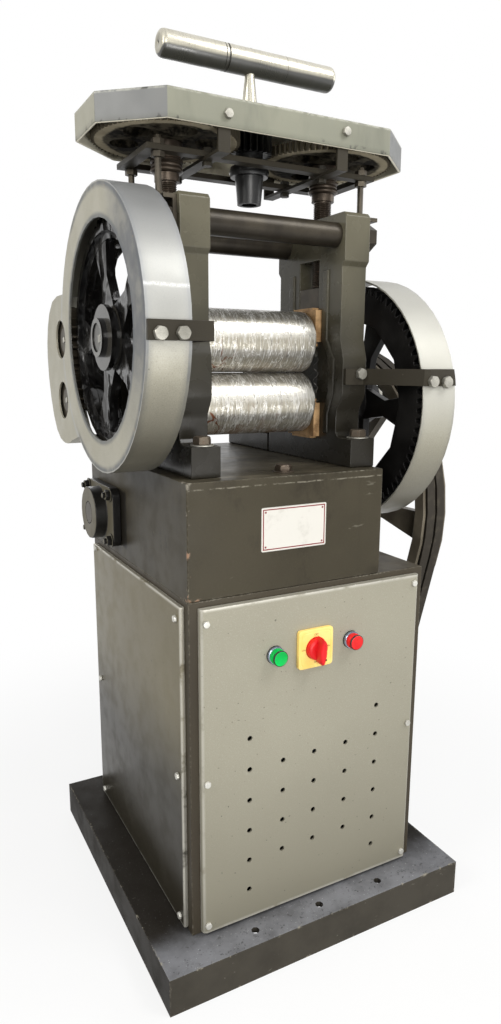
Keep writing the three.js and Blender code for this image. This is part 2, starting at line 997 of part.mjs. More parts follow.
// Bull gears: a toothed rim, curved arms and a hub
function wheelArms(x0, x1, axis, armAt, count, hub, rim, narrow, wide) {
  const arms = [];
  for (let arm = 0; arm < count; arm += 1) {
    const outline = polygon([
      [hub - 8, -wide],
      [(hub + rim) / 2, -narrow],
      [rim + 2, -wide],
      [rim + 2, wide],
      [(hub + rim) / 2, narrow],
      [hub - 8, wide],
    ]);
    const angle = armAt + (arm * 360) / count;
    arms.push(alongX(outline, x0, x1).rotate([angle, 0, 0]).translate([0, 0, axis]));
  }
  return join(...arms);
}

function toothedRing(module, teeth, toothAt, y, z, x0, x1, bore, pointed = true) {
  const outline = gearOutline(module, teeth, toothAt, y, z, pointed);
  if (bore > 0) outline.holes.push(circleHole(y, z, bore));
  return alongX(outline, x0, x1, 10);
}

const leftFar = leftGearInner + leftGearFace;
const rightFar = rightGearInner + rightGearFace;
const idlerWay = Math.atan2(idlerAxis - upperAxis, crossAxisY);
const armThickness = 14;
add(
  'left_bull_gear',
  cut(
    join(
      toothedRing(gearModule, bullTeeth, idlerWay, 0, upperAxis, -leftFar, -leftGearInner, bullRim),
      turned(
        'x',
        [
          [rimInner, -leftFar + 1],
          [rimInner, -leftFar - rimStepDepth],
          [rimStep, -leftFar - rimStepDepth],
          [rimStep, -leftFar - rimDepth],
          [rimOuter, -leftFar - rimDepth],
          [rimOuter, -leftFar + 1],
        ],
        [0, 0, upperAxis],
        32
      ),
      wheelArms(
        -leftFar - rimStepDepth + 1,
        -leftFar - rimStepDepth + 1 + armThickness,
        upperAxis,
        leftArmTurn,
        bullArms,
        bullHub,
        rimInner + 2,
        14,
        30
      ),
      turned(
        'x',
        [
          [0, -capFace],
          [hubCap, -capFace],
          [hubCap, -hubFace],
          [hubFlange, -hubFace],
          [hubFlange, -hubFace + 8],
          [bullHub, -hubFace + 8],
          [bullHub, -leftGearInner + 3],
          [0, -leftGearInner + 3],
        ],
        [0, 0, upperAxis],
        24
      )
    ),
    boreX(journal + running, -capFace - 1, -leftGearInner + 9, 0, upperAxis)
  ),
  'gear'
);
add(
  'right_bull_gear',
  cut(
    join(
      toothedRing(gearModule, bullTeeth, 0, 0, lowerAxis, rightGearInner, rightFar, bullRim, false),
      wheelArms(
        rightFar - 8 - armThickness,
        rightFar - 8,
        lowerAxis,
        rightArmTurn,
        bullArms,
        bullHub,
        bullRim,
        14,
        28
      ),
      rodX(bullHub, rightGearInner - 3, rightHubFace, 0, lowerAxis, 20)
    ),
    boreX(journal + running, rightGearInner - 9, rightHubFace + 1, 0, lowerAxis)
  ),
  'gear'
);

// Cross shaft, idler shaft, reduction gear and countershaft
const pinionMargin = 1;
const syncOuter = hubFace;
const syncInner = hubFace - syncFace;
const crossGearAt = Math.PI + Math.PI / pinionTeeth;
add(
  'cross_shaft',
  join(
    rodX(crossShaft / 2, -syncOuter - 2, rightFar + 6, crossAxisY, lowerAxis, 20),
    toothedRing(
      gearModule,
      pinionTeeth,
      crossGearAt,
      crossAxisY,
      lowerAxis,
      rightGearInner - pinionMargin,
      rightFar + pinionMargin,
      0
    ),
    toothedRing(
      gearModule,
      syncTeeth,
      Math.PI / 2,
      crossAxisY,
      lowerAxis,
      -syncOuter,
      -syncInner,
      0
    )
  ),
  'darkSteel'
);
add(
  'idler_shaft',
  join(
    rodX(crossShaft / 2, -syncOuter - 2, -housingInner + 2, crossAxisY, idlerAxis, 20),
    rodX(crossShaft / 2 + 8, -housingInner + seat, -housingInner + 8, crossAxisY, idlerAxis, 20),
    toothedRing(
      gearModule,
      pinionTeeth,
      idlerWay + Math.PI + Math.PI / pinionTeeth,
      crossAxisY,
      idlerAxis,
      -leftFar - pinionMargin,
      -leftGearInner + pinionMargin,
      0
    ),
    toothedRing(
      gearModule,
      syncTeeth,
      -Math.PI / 2 + Math.PI / syncTeeth,
      crossAxisY,
      idlerAxis,
      -syncOuter,
      -syncInner,
      0
    )
  ),
  'darkSteel'
);

const counterWay = Math.atan2(counterAxis - lowerAxis, counterOffset - crossAxisY);
const reductionFar = reductionInner + reductionFace;
const reductionOutline = gearOutline(
  gearModule,
  reductionTeeth,
  counterWay,
  crossAxisY,
  lowerAxis,
  true
);
reductionOutline.holes.push(circleHole(crossAxisY, lowerAxis, crossShaft / 2 + running));
add('reduction_gear', alongX(reductionOutline, reductionInner, reductionFar, 5), 'gear');

const shaftEnd = pulleyInner + pulleyWidth + 2;
add(
  'countershaft',
  join(
    rodX(
      counterShaft / 2,
      cabinetLeft - bearingBlock - bearingProud,
      shaftEnd,
      counterOffset,
      counterAxis,
      20
    ),
    toothedRing(
      gearModule,
      counterTeeth,
      counterWay + Math.PI + Math.PI / counterTeeth,
      counterOffset,
      counterAxis,
      reductionInner + 0.2,
      reductionFar,
      0
    )
  ),
  'darkSteel'
);

// V pulleys and their two belts
const pulleyOuter = pulleyInner + pulleyWidth;
const grooveMiddles = [-1, 1].map((side) => pulleyInner + pulleyWidth / 2 + (side * beltPitch) / 2);
const grooveDepth = beltHeight - beltProud + 1.5;
const grooveTopHalf = beltWidth / 2 + 0.1;
const grooveBottomHalf = beltNarrow / 2 + 0.1;

function groovedRim(radius, bore) {
  const profile = [[bore, pulleyInner]];
  profile.push([radius, pulleyInner]);
  for (const middle of grooveMiddles) {
    profile.push([radius, middle - grooveTopHalf]);
    profile.push([radius - grooveDepth, middle - grooveBottomHalf]);
    profile.push([radius - grooveDepth, middle + grooveBottomHalf]);
    profile.push([radius, middle + grooveTopHalf]);
  }
  profile.push([radius, pulleyOuter]);
  profile.push([bore, pulleyOuter]);
  return profile;
}

const webInner = pulleyInner + pulleyWidth / 2 - 9;
add(
  'v_pulley',
  cut(
    join(
      turned(
        'x',
        groovedRim(pulleyRadius, pulleyRadius - pulleyRim),
        [0, counterOffset, counterAxis],
        36
      ),
      wheelArms(
        webInner,
        webInner + 18,
        0,
        pulleyArmTurn,
        pulleyArms,
        pulleyHub,
        pulleyRadius - pulleyRim,
        15,
        30
      ).translate([0, counterOffset, counterAxis]),
      rodX(pulleyHub, pulleyInner, pulleyOuter, counterOffset, counterAxis, 20)
    ),
    boreX(
      counterShaft / 2 + running,
      pulleyInner - 1,
      pulleyOuter + 1,
      counterOffset,
      counterAxis,
      24
    )
  ),
  'pulley'
);

const motorFace = cabinetRight - cabinetWall - 4;
add(
  'motor_pulley',
  join(
    turned('x', groovedRim(motorPulley, 0), [0, motorOffset, motorAxis], 18),
    rodX(motorShaft / 2, motorFace - 50, pulleyInner + 2, motorOffset, motorAxis, 20)
  ),
  'pulley'
);
add(
  'motor',
  cut(
    join(
      rodX(motorRadius, motorFace - motorLength, motorFace, motorOffset, motorAxis, 20),
      block(
        motorFace - motorLength + 30,
        motorFace - 30,
        motorOffset - motorRadius,
        motorOffset + motorRadius,
        baseHeight + seat,
        baseHeight + seat + 14
      ),
      block(
        motorFace - motorLength + 40,
        motorFace - 40,
        motorOffset - motorRadius / 2,
        motorOffset + motorRadius / 2,
        baseHeight + seat + 1,
        motorAxis - motorRadius / 2
      ),
      block(
        motorFace - motorLength + 60,
        motorFace - 80,
        motorOffset - 45,
        motorOffset + 45,
        motorAxis,
        motorAxis + motorRadius + 34
      )
    ),
    boreX(motorShaft / 2 + running, motorFace - 51, motorFace + 1, motorOffset, motorAxis, 20)
  ),
  'motor'
);

function beltBody(middle) {
  const down = new THREE.Vector2(motorOffset - counterOffset, motorAxis - counterAxis);
  const lean = Math.asin((pulleyRadius - motorPulley) / down.length());
  const way = Math.atan2(down.y, down.x);
  const section = [
    [beltProud, beltWidth / 2 - running],
    [beltProud, -beltWidth / 2 + running],
    [beltProud - beltHeight, -beltNarrow / 2 + running],
    [beltProud - beltHeight, beltNarrow / 2 - running],
  ];
  const rings = [];
  const arc = (centreY, centreZ, radius, from, to, steps) => {
    for (let step = 0; step <= steps; step += 1) {
      const angle = from + ((to - from) * step) / steps;
      rings.push(
        section.map(([out, across]) => [
          middle + across,
          centreY + (radius + out) * Math.cos(angle),
          centreZ + (radius + out) * Math.sin(angle),
        ])
      );
    }
  };
  const turnOff = Math.PI / 2 - lean;
  const outward = way + turnOff;
  arc(counterOffset, counterAxis, pulleyRadius, outward, way + 2 * Math.PI - turnOff, 30);
  arc(motorOffset, motorAxis, motorPulley, way - turnOff, way + turnOff, 8);
  const positions = rings.flat(2);
  const faces = [];
  const corners = section.length;
  for (let ring = 0; ring < rings.length; ring += 1) {
    const next = (ring + 1) % rings.length;
    for (let corner = 0; corner < corners; corner += 1) {
      const other = (corner + 1) % corners;
      const a = ring * corners + corner;
      const b = ring * corners + other;
      const c = next * corners + corner;
      const d = next * corners + other;
      faces.push(a, b, c, b, d, c);
    }
  }
  const geometry = new THREE.BufferGeometry();
  geometry.setAttribute('position', new THREE.Float32BufferAttribute(positions, 3));
  geometry.setIndex(faces);
  const body = solid(geometry);
  if (body.volume() > 0) return body;
  geometry.index.array.reverse();
  return solid(geometry);
}

add('inner_belt', beltBody(grooveMiddles[0]), 'belt');
add('outer_belt', beltBody(grooveMiddles[1]), 'belt');

// Rear bearing stands. The left one is forked: the idler's carrier slides in it.
const standFront = footReach + standGap;
const standRear = standFront + standLength;

function standOutline(top) {
  return polygon([
    [standFront, footBottom],
    [standRear, footBottom],
    [standRear, deck + standFoot],
    [crossAxisY + standHalf + 14, deck + standFoot],
    [crossAxisY + standHalf, deck + standFoot + 14],
    [crossAxisY + standHalf, top - 14],
    [crossAxisY + standHalf - 14, top],
    [crossAxisY - standHalf + 14, top],
    [crossAxisY - standHalf, top - 14],
    [crossAxisY - standHalf, deck + standFoot + 14],
    [crossAxisY - standHalf - 14, deck + standFoot],
    [standFront, deck + standFoot],
  ]);
}

const crossBore = crossShaft / 2 + running;
const forkFloor = lowerAxis + 50;
add(
  'left_rear_stand',
  cut(
    alongX(standOutline(idlerAxis + standHalf), -housingOuter, -housingInner),
    block(
      -housingOuter - 1,
      -housingInner + 1,
      crossAxisY - slotHalf,
      crossAxisY + slotHalf,
      forkFloor,
      idlerAxis + 2 * standHalf
    ),
    boreX(crossBore, -housingOuter - 1, -housingInner + 1, crossAxisY, lowerAxis, 20)
  ),
  'casting'
);
add(
  'right_rear_stand',
  cut(
    alongX(standOutline(lowerAxis + standHalf), housingInner, housingOuter),
    boreX(crossBore, housingInner - 1, housingOuter + 1, crossAxisY, lowerAxis, 20)
  ),
  'casting'
);

// The carrier holds the idler at a fixed distance behind the upper roll as the roll is lifted
const carrierInner = housingOuter + 2;
const carrierOuter = carrierInner + carrierPlate;
const armHalf = 24;
add(
  'idler_carrier',
  cut(
    join(
      rodX(carrierEnd, -carrierOuter, -carrierInner, 0, upperAxis, 20),
      rodX(carrierEnd, -carrierOuter, -carrierInner, crossAxisY, idlerAxis, 20),
      block(
        -carrierOuter,
        -carrierInner,
        0,
        crossAxisY,
        upperAxis - armHalf,
        idlerAxis + armHalf
      ),
      block(
        -carrierInner - 1,
        -housingInner - 1,
        crossAxisY - slotHalf + seat,
        crossAxisY + slotHalf - seat,
        idlerAxis - 34,
        idlerAxis + 34
      )
    ),
    boreX(neck + running, -carrierOuter - 1, -carrierInner + 1, 0, upperAxis),
    boreX(crossBore, -carrierOuter - 1, -housingInner + 1, crossAxisY, idlerAxis, 20)
  ),
  'casting'
);

// Sheet guards
function lobeOutline(inset) {
  const top = lobeTop - inset;
  const bottom = lobeBottom + inset;
  const rear = lobeRear - inset;
  const middle = (lobeTop + lobeBottom) / 2 + 26;
  const outline = new THREE.Shape();
  outline.moveTo(crossAxisY - 105, top);
  outline.lineTo(crossAxisY - 105, bottom + 24);
  outline.lineTo(crossAxisY - 52, bottom + 12);
  outline.bezierCurveTo(crossAxisY - 20, bottom, rear - 106, bottom, rear - 74, bottom + 8);
  outline.bezierCurveTo(rear - 30, bottom + 20, rear, middle - 60, rear, middle);
  outline.bezierCurveTo(rear, middle + 40, rear - 24, top, crossAxisY + 14, top);
  return outline;
}

const leftGuardInner = leftGuardOuter + leftGuardWidth;
const holeTop = idlerAxis + liftTravel / 2 - 3;
add(
  'left_guard',
  cut(
    join(
      rodX(guardInner + guardSheet, leftGuardOuter, leftGuardInner, 0, leftGuardAxis, 48),
      alongX(lobeOutline(0), leftGuardOuter, leftGuardInner, 5)
    ),
    rodX(guardInner, leftGuardOuter + guardSheet, leftGuardInner + 1, 0, leftGuardAxis, 48),
    alongX(lobeOutline(guardSheet), leftGuardOuter + guardSheet, leftGuardInner + 1, 5),
    rodX(guardMouth, leftGuardOuter - 1, leftGuardInner, 0, leftGuardAxis, 36),
    rodX(lobeHole / 2, leftGuardOuter - 1, leftGuardInner, crossAxisY, lowerAxis, 20),
    rodX(lobeHole / 2, leftGuardOuter - 1, leftGuardInner, crossAxisY, holeTop, 20)
  ),
  'guard'
);

const rightGuardInner = 199;
const rightGuardOuter = rightGuardInner + rightGuardWidth;
const pinionPocket = pinionRadius + gearModule + 7;
add(
  'right_guard',
  cut(
    join(
      rodX(guardOuter, rightGuardInner, rightGuardOuter, 0, lowerAxis, 48),
      rodX(
        pinionPocket + guardSheet,
        rightGuardInner,
        rightGuardOuter,
        crossAxisY,
        lowerAxis,
        20
      )
    ),
    rodX(guardInner, rightGuardInner - 1, rightGuardOuter + 1, 0, lowerAxis, 48),
    rodX(pinionPocket, rightGuardInner - 1, rightGuardOuter + 1, crossAxisY, lowerAxis, 20)
  ),
  'guard'
);

// A strap's part that is bent round the front of a guard
function bandPiece(axis, x0, x1, z0, z1) {
  const inner = guardOuter + seat;
  return cut(
    rodX(inner + strapThickness, x0, x1, 0, axis, 64),
    rodX(inner, x0 - 1, x1 + 1, 0, axis, 64)
  ).intersect(block(x0 - 1, x1 + 1, -2 * guardOuter, 0, z0, z1));
}

const leftStrapBottom = upperAxis - 9.5;
const legFace = -housingOuter - seat;
add(
  'left_guard_strap',
  join(
    bandPiece(
      leftGuardAxis,
      leftGuardOuter,
      legFace,
      leftStrapBottom,
      leftStrapBottom + strapHeight
    ),
    block(
      legFace - strapThickness,
      legFace,
      -guardOuter - seat - strapThickness + 1,
      -columnHalf + 47,
      leftStrapBottom,
      leftStrapBottom + strapHeight
    )
  ),
  'brown'
);

const rightStrapBottom = lowerAxis + 32;
const rightStrapTop = rightStrapBottom + strapHeight;
const footFace = -bulgeHalf - seat;
const bandStart = rightGuardInner + 4;
add(
  'right_guard_strap',
  join(
    bentStrap(
      [
        [housingInner + 3, footFace],
        [housingOuter - 6, footFace],
        [bandStart - 4, -guardOuter + 2],
        [bandStart + 6, -guardOuter + 2],
      ],
      strapThickness,
      rightStrapBottom,
      rightStrapTop
    ),
    bandPiece(lowerAxis, bandStart, rightGuardOuter - 3, rightStrapBottom, rightStrapTop)
  ),
  'brown'
);

// Screws, each with its collar, thrust rings and hub
const screwTip = chockTop + 2 * seat + blockHeight;
const gearBottom = coverBottom + 3;
const screwSpindle = 12.5;
for (const [place, side] of [
  ['left', -1],
  ['right', 1],
]) {
  const shank = screwDiameter / 2;
  const ring = frameBottom - 14;
  add(
    `${place}_screw`,
    turned(
      'z',
      [
        [0, screwTip],
        [shank - 3, screwTip],
        [shank, screwTip + 3],
        [shank, ring - 12],
        [19, ring - 12],
        [19, ring],
        [collarRadius - 3, ring],
        [collarRadius, ring + 5],
        [collarRadius - 2, ring + 11],
        [collarRadius, ring + 17],
        [collarRadius - 3, ring + 23],
        [collarRadius - 1, ring + 25],
        [collarRadius - 1, gearBottom - seat],
        [screwSpindle, gearBottom - seat],
        [screwSpindle, gearBottom + screwGearFace - 1],
        [0, gearBottom + screwGearFace - 1],
      ],
      [side * housingMid, 0, 0],
      16
    ),
    'brown'
  );
  const toothAt = (side > 0 ? Math.PI : 0) + Math.PI / screwTeeth;
  const outline = gearOutline(screwModule, screwTeeth, toothAt, side * housingMid, 0, true);
  outline.holes.push(circleHole(side * housingMid, 0, screwSpindle + running));
  for (let hole = 0; hole < 6; hole += 1) {
    const angle = ((hole + 0.5) * Math.PI) / 3;
    const reach = (screwModule * screwTeeth) / 4 + 10;
    outline.holes.push(
      circleHole(side * housingMid + reach * Math.cos(angle), reach * Math.sin(angle), 21)
    );
  }
  const top = gearBottom + screwGearFace;
  add(`${place}_screw_gear`, alongZ(outline, gearBottom, top, 4), 'brown');
}

// Drive pinion with the sleeve below it, on the handle's spindle
const spindle = stemDiameter / 2;
const pinionTop = coverTop - coverSheet - 2;
const pinionBottom = gearBottom + 0.6;
const sleeveBottom = frameBottom - 44;
add(
  'drive_pinion',
  cut(
    join(
      alongZ(gearOutline(screwModule, driveTeeth, 0, 0, 0, true), pinionBottom, pinionTop),
      turned(
        'z',
        [
          [0, sleeveBottom],
          [19.2, sleeveBottom],
          [23, sleeveBottom + 41],
          [30, sleeveBottom + 41],
          [32, sleeveBottom + 48],
          [30, sleeveBottom + 56],
          [22, sleeveBottom + 57],
          [22, pinionBottom + 1],
          [0, pinionBottom + 1],
        ],
        [0, 0, 0],
        20
      )
    ),
    rodZ(spindle + running, sleeveBottom - 1, pinionTop + 1, 0, 0, 18)
  ),
  'gear'
);

const stemEnd = handleAxis + 10;
add(
  'spindle',
  turned(
    'z',
    [
      [0, sleeveBottom + 8],
      [spindle, sleeveBottom + 8],
      [spindle, coverTop + 40],
      [stemTop / 2, handleAxis - handleDiameter / 2 - 4],
      [stemTop / 2, stemEnd],
      [0, stemEnd],
    ],
    [0, 0, 0],
    24
  ),
  'nickel'
);

const grip = handleDiameter / 2;
const handleStart = -handleLength / 2;
const handleEnd = handleLength / 2;
const grooveAt = -42;
add(
  'handle_bar',
  cut(
    turned(
      'x',
      [
        [0, handleStart + 8],
        [3, handleStart + 6],
        [3, handleStart],
        [grip - handleRound, handleStart],
        [grip - 0.3 * handleRound, handleStart + 0.3 * handleRound],
        [grip, handleStart + handleRound],
        [grip, grooveAt - 2],
        [grip - handleGroove, grooveAt - 1],
        [grip - handleGroove, grooveAt + 1],
        [grip, grooveAt + 2],
        [grip, handleEnd - handleRound],
        [grip - 0.3 * handleRound, handleEnd - 0.3 * handleRound],
        [grip - handleRound, handleEnd],
        [0, handleEnd],
      ],
      [0, 0, handleAxis],
      18
    ),
    rodZ(stemTop / 2 + running, handleAxis - 2 * grip, stemEnd + seat, 0, 0, 18)
  ),
  'nickel'
);

// Frame of flat bar above the housings, on four studs
const frameTop = frameBottom + frameBar;
const barInner = frameHalfDepth - frameBarWidth;
const endInner = frameHalfLength - frameBarWidth;
const boltHole = 4.5;
const frameHoles = [];
for (const sideX of [-1, 1]) {
  for (const sideY of [-1, 1]) {
    const x = sideX * studPlace;
    frameHoles.push(
      rodZ(studDiameter / 2 + 0.6, frameBottom - 1, frameTop + 1, x, sideY * studRow, 8),
      rodZ(boltHole, frameBottom - 1, frameTop + 1, sideX * coverStrapOffset, sideY * studRow, 8)
    );
  }
}
add(
  'support_frame',
  cut(
    block(
      -frameHalfLength,
      frameHalfLength,
      -frameHalfDepth,
      frameHalfDepth,
      frameBottom,
      frameTop
    ),
    block(-endInner, endInner, -barInner, barInner, frameBottom - 1, frameTop + 1),
    ...frameHoles
  ),
  'brown'
);

// Each stud stands on an angle that is clamped under a tie rod's nut
const angleTop = housingTop - bracketTopDrop;
for (const [nameX, sideX] of [
  ['left', -1],
  ['right', 1],
]) {
  for (const [nameY, sideY] of [
    ['front', -1],
    ['rear', 1],
  ]) {
    const x = sideX * studPlace;
    const y = sideY * studRow;
    const near = sideX * (housingOuter + seat);
    const plateFar = near + sideX * bracketSheet;
    const ledgeFar = sideX * (studPlace + bracketLedge);
    const yIn = sideY * (studRow - bracketInset);
    const yOut = sideY * (tieRodOffset + bracketReach);
    const y0 = Math.min(yIn, yOut);
    const y1 = Math.max(yIn, yOut);
    const nutRadius = hexRadius(studNut);
    const lowNut = frameBottom - seat;
    const highNut = frameTop + seat;
    const pieces = [
      block(
        Math.min(near, plateFar),
        Math.max(near, plateFar),
        y0,
        y1,
        housingTop - bracketFootDrop,
        angleTop
      ),
      block(
        Math.min(near, ledgeFar),
        Math.max(near, ledgeFar),
        y0,
        y1,
        angleTop - bracketSheet,
        angleTop
      ),
      rodZ(studDiameter / 2, angleTop - 2, highNut + studNutHeight + studEnd, x, y, 8),
      rodZ(nutRadius, angleTop - 1, angleTop + studNutHeight, x, y, 6),
      rodZ(nutRadius, lowNut - studNutHeight, lowNut, x, y, 6),
      rodZ(nutRadius, highNut, highNut + studNutHeight, x, y, 6),
    ];
    const coupled = sideX < 0 && sideY > 0;
    if (coupled) pieces.push(rodZ(nutRadius, angleTop, lowNut - 25, x, y, 6));
    add(
      `${nameX}_${nameY}_stud`,
      cut(
        join(...pieces),
        boreX(
          threadBore,
          Math.min(near, plateFar) - 1,
          Math.max(near, plateFar) + 1,
          sideY * tieRodOffset,
          tieRodAxis,
          20
        )
      ),
      'darkSteel'
    );
  }
}

// Gear cover, and the two straps that hold it on the frame
function coverOutline(inset) {
  const x = coverHalfLength - inset;
  const y = coverHalfDepth - inset;
  const slope = Math.hypot(coverChamferX, coverChamferY);
  const chamfer = (coverChamferX + coverChamferY - slope) / slope;
  const cutX = coverChamferX - (inset * chamfer * coverChamferX) / coverChamferY;
  const cutY = coverChamferY - (inset * chamfer * coverChamferY) / coverChamferX;
  return polygon([
    [-x, y - cutY],
    [-x, -y + cutY],
    [-x + cutX, -y],
    [x - cutX, -y],
    [x, -y + cutY],
    [x, y - cutY],
    [x - cutX, y],
    [-x + cutX, y],
  ]);
}

add(
  'gear_cover',
  cut(
    alongZ(coverOutline(0), coverBottom, coverTop),
    alongZ(coverOutline(coverSheet), coverBottom - 1, coverTop - coverSheet),
    rodZ(spindle + running, coverTop - 2 * coverSheet, coverTop + 1, 0, 0, 18)
  ),
  'cover'
);

for (const [name, side] of [
  ['left_cover_strap', -1],
  ['right_cover_strap', 1],
]) {
  const x0 = side * coverStrapOffset - coverStrapWidth / 2;
  const x1 = x0 + coverStrapWidth;
  const legOuter = coverHalfDepth - coverSheet - seat;
  const legInner = legOuter - coverStrapSheet;
  const runTop = frameBottom - seat;
  const runBottom = runTop - coverStrapSheet;
  const legTop = coverTop - coverSheet - seat;
  const pieces = [block(x0, x1, -legOuter, legOuter, runBottom, runTop)];
  for (const y of [-1, 1]) {
    const middle = side * coverStrapOffset;
    const near = Math.min(y * legInner, y * legOuter);
    pieces.push(block(x0, x1, near, near + coverStrapSheet, runBottom, legTop));
    pieces.push(
      rodZ(boltHole - 0.5, runBottom - 1, frameTop + seat + 7, middle, y * studRow, 8),
      rodZ(7.5, runBottom - 6, runBottom + 1, middle, y * studRow, 6),
      rodZ(7.5, frameTop + seat, frameTop + seat + 6, middle, y * studRow, 6)
    );
  }
  add(name, join(...pieces), 'brown');
}

// Switch, its plate and the two lamps
const plateFace = frontPanelFace - seat;
const switchHalf = switchPlate / 2;
add(
  'switch_plate',
  cut(
    alongY(
      roundedRectangle(
        switchX - switchHalf,
        switchX + switchHalf,
        switchAxis - switchHalf,
        switchAxis + switchHalf,
        4
      ),
      plateFace - 3,
      plateFace,
      3
    ),
    rodY(knobShaft + seat, plateFace - 4, plateFace + 1, switchX, switchAxis, 16)
  ),
  'yellow'
);
const knobBack = plateFace - 3 - seat;
add(
  'switch_knob',
  join(
    turned(
      'y',
      [
        [0, knobBack - 12],
        [19, knobBack - 12],
        [22, knobBack - 9],
        [22, knobBack],
        [0, knobBack],
      ],
      [switchX, 0, switchAxis],
      24
    ),
    block(
      switchX - 6,
      switchX + 6,
      knobBack - 28,
      knobBack - 11,
      switchAxis - 23,
      switchAxis + 23
    ),
    rodY(knobShaft, knobBack - 1, frontPanelFace + 30, switchX, switchAxis, 16)
  ),
  'red'
);
for (const [name, side, finish] of [
  ['green_lamp', -1, 'green'],
  ['red_lamp', 1, 'red'],
]) {
  const lens = lampDiameter / 2 - 1.5;
  add(
    name,
    turned(
      'y',
      [
        [0, plateFace - 20],
        [lens - 6, plateFace - 18.5],
        [lens - 1.5, plateFace - 14],
        [lens, plateFace - 7],
        [lampDiameter / 2, plateFace - 6],
        [lampDiameter / 2, plateFace],
        [lampNeck, plateFace],
        [lampNeck, frontPanelFace + panelSheet + seat],
        [lampNeck + 3, frontPanelFace + panelSheet + seat],
        [lampNeck + 3, frontPanelFace + 24],
        [0, frontPanelFace + 24],
      ],
      [switchX + side * lampPitch, 0, switchAxis],
      16
    ),
    finish
  );
}

// The origin lies under the middle of the box that holds every piece
const group = new THREE.Group();
group.name = 'jewellers_rolling_mill';
const box = new THREE.Box3().setFromObject(mill);
const middle = box.getCenter(new THREE.Vector3());
for (const mesh of [...mill.children]) {
  mesh.geometry.translate(-middle.x, -middle.y, 0);
  group.add(mesh);
}
console.log(`shift to the origin: ${-middle.x.toFixed(4)} ${-middle.y.toFixed(4)} mm`);

export default group;
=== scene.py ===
import json
import math

import bmesh
import bpy
import numpy as np
from mathutils import Matrix, Vector


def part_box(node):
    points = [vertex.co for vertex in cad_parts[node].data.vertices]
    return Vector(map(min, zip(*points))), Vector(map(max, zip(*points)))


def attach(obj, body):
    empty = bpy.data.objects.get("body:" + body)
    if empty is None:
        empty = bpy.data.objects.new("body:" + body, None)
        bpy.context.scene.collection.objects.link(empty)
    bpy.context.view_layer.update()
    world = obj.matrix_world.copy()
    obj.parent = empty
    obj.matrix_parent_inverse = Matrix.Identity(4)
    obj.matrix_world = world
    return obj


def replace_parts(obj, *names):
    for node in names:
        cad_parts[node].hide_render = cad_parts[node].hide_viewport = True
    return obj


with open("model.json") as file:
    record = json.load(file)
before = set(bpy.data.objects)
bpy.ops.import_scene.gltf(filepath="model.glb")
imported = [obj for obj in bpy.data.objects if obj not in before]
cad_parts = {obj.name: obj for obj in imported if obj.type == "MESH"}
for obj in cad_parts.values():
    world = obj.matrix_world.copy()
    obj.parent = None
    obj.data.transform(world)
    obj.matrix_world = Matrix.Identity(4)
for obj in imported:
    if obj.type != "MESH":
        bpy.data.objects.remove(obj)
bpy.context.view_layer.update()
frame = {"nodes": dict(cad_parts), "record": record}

# The mill's own axes, in millimetres: zero half way between the housings, on the roll axes
# and on the floor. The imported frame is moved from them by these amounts.
FRAME_SHIFT = np.array([-53.8, -150.3022, 0.0])

# Axes, levels and faces
SCREW_AXIS = 141.0
CROSS_Y = 225.0
DECK = 802.0
LOWER_AXIS = 903.3
UPPER_AXIS = 1005.5
IDLER_AXIS = 1008.3
LEFT_GUARD_AXIS = 1012.5
HANDLE_Z = 1426.0
COVER_TOP = 1328.0
PANEL_FACE = -174.3
SIDE_FACE = -192.3
PEDESTAL_FACE = -163.0
SWITCH_X = 28.0
SWITCH_Z = 523.0
VENT_COLUMNS = (-87.5, -26.0, 34.0, 97.0, 160.0)
VENT_ROWS = (122.5, 176.3, 230.1, 283.9, 337.7, 391.5)
VENT_RADIUS = 4.4

# Sizes of the solids that the finishes and pieces follow
ROLL_RADIUS = 50.8
FILM_HALF_LENGTH = 100.2
ROLL_LEFT_END = -250.0
GUARD_RADIUS = 211.0
GUARD_MOUTH = 162.0
LEFT_GUARD_SIDES = (-257.5, -194.5)
RIGHT_GUARD_SIDES = (199.0, 265.0)
SCREW_GEAR_RADIUS = 108.0
COVER_HALF_LENGTH = 265.0
COVER_HALF_DEPTH = 119.0
LABEL_CENTRE = (-5.5, 721.5)
LABEL_HALF = (58.5, 34.5)
SURFACE_GAP = 0.3
KNOB_STAND = 3.6
WORD_OUT = 23.4
GREEN_LAMP_X = -44.0
RED_LAMP_X = 100.0
LAMP_GAP = 0.2
HOUSING_FOOT = 849.0
FLANGE_FACE = -200.3
HUB_FACE = -256.8
SHAFT_END = -251.8


def to_frame(points):
    """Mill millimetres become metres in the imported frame: the shift is added, then a thousandth."""
    return (np.asarray(points, float) + FRAME_SHIFT) / 1000.0


# Finishes

def linear(code):
    """A colour of six hexadecimal figures as linear light, by the usual sRGB curve."""
    parts = np.array([int(code[i : i + 2], 16) for i in (0, 2, 4)]) / 255
    curve = np.where(parts <= 0.04045, parts / 12.92, ((parts + 0.055) / 1.055) ** 2.4)
    return tuple(float(v) for v in curve) + (1.0,)


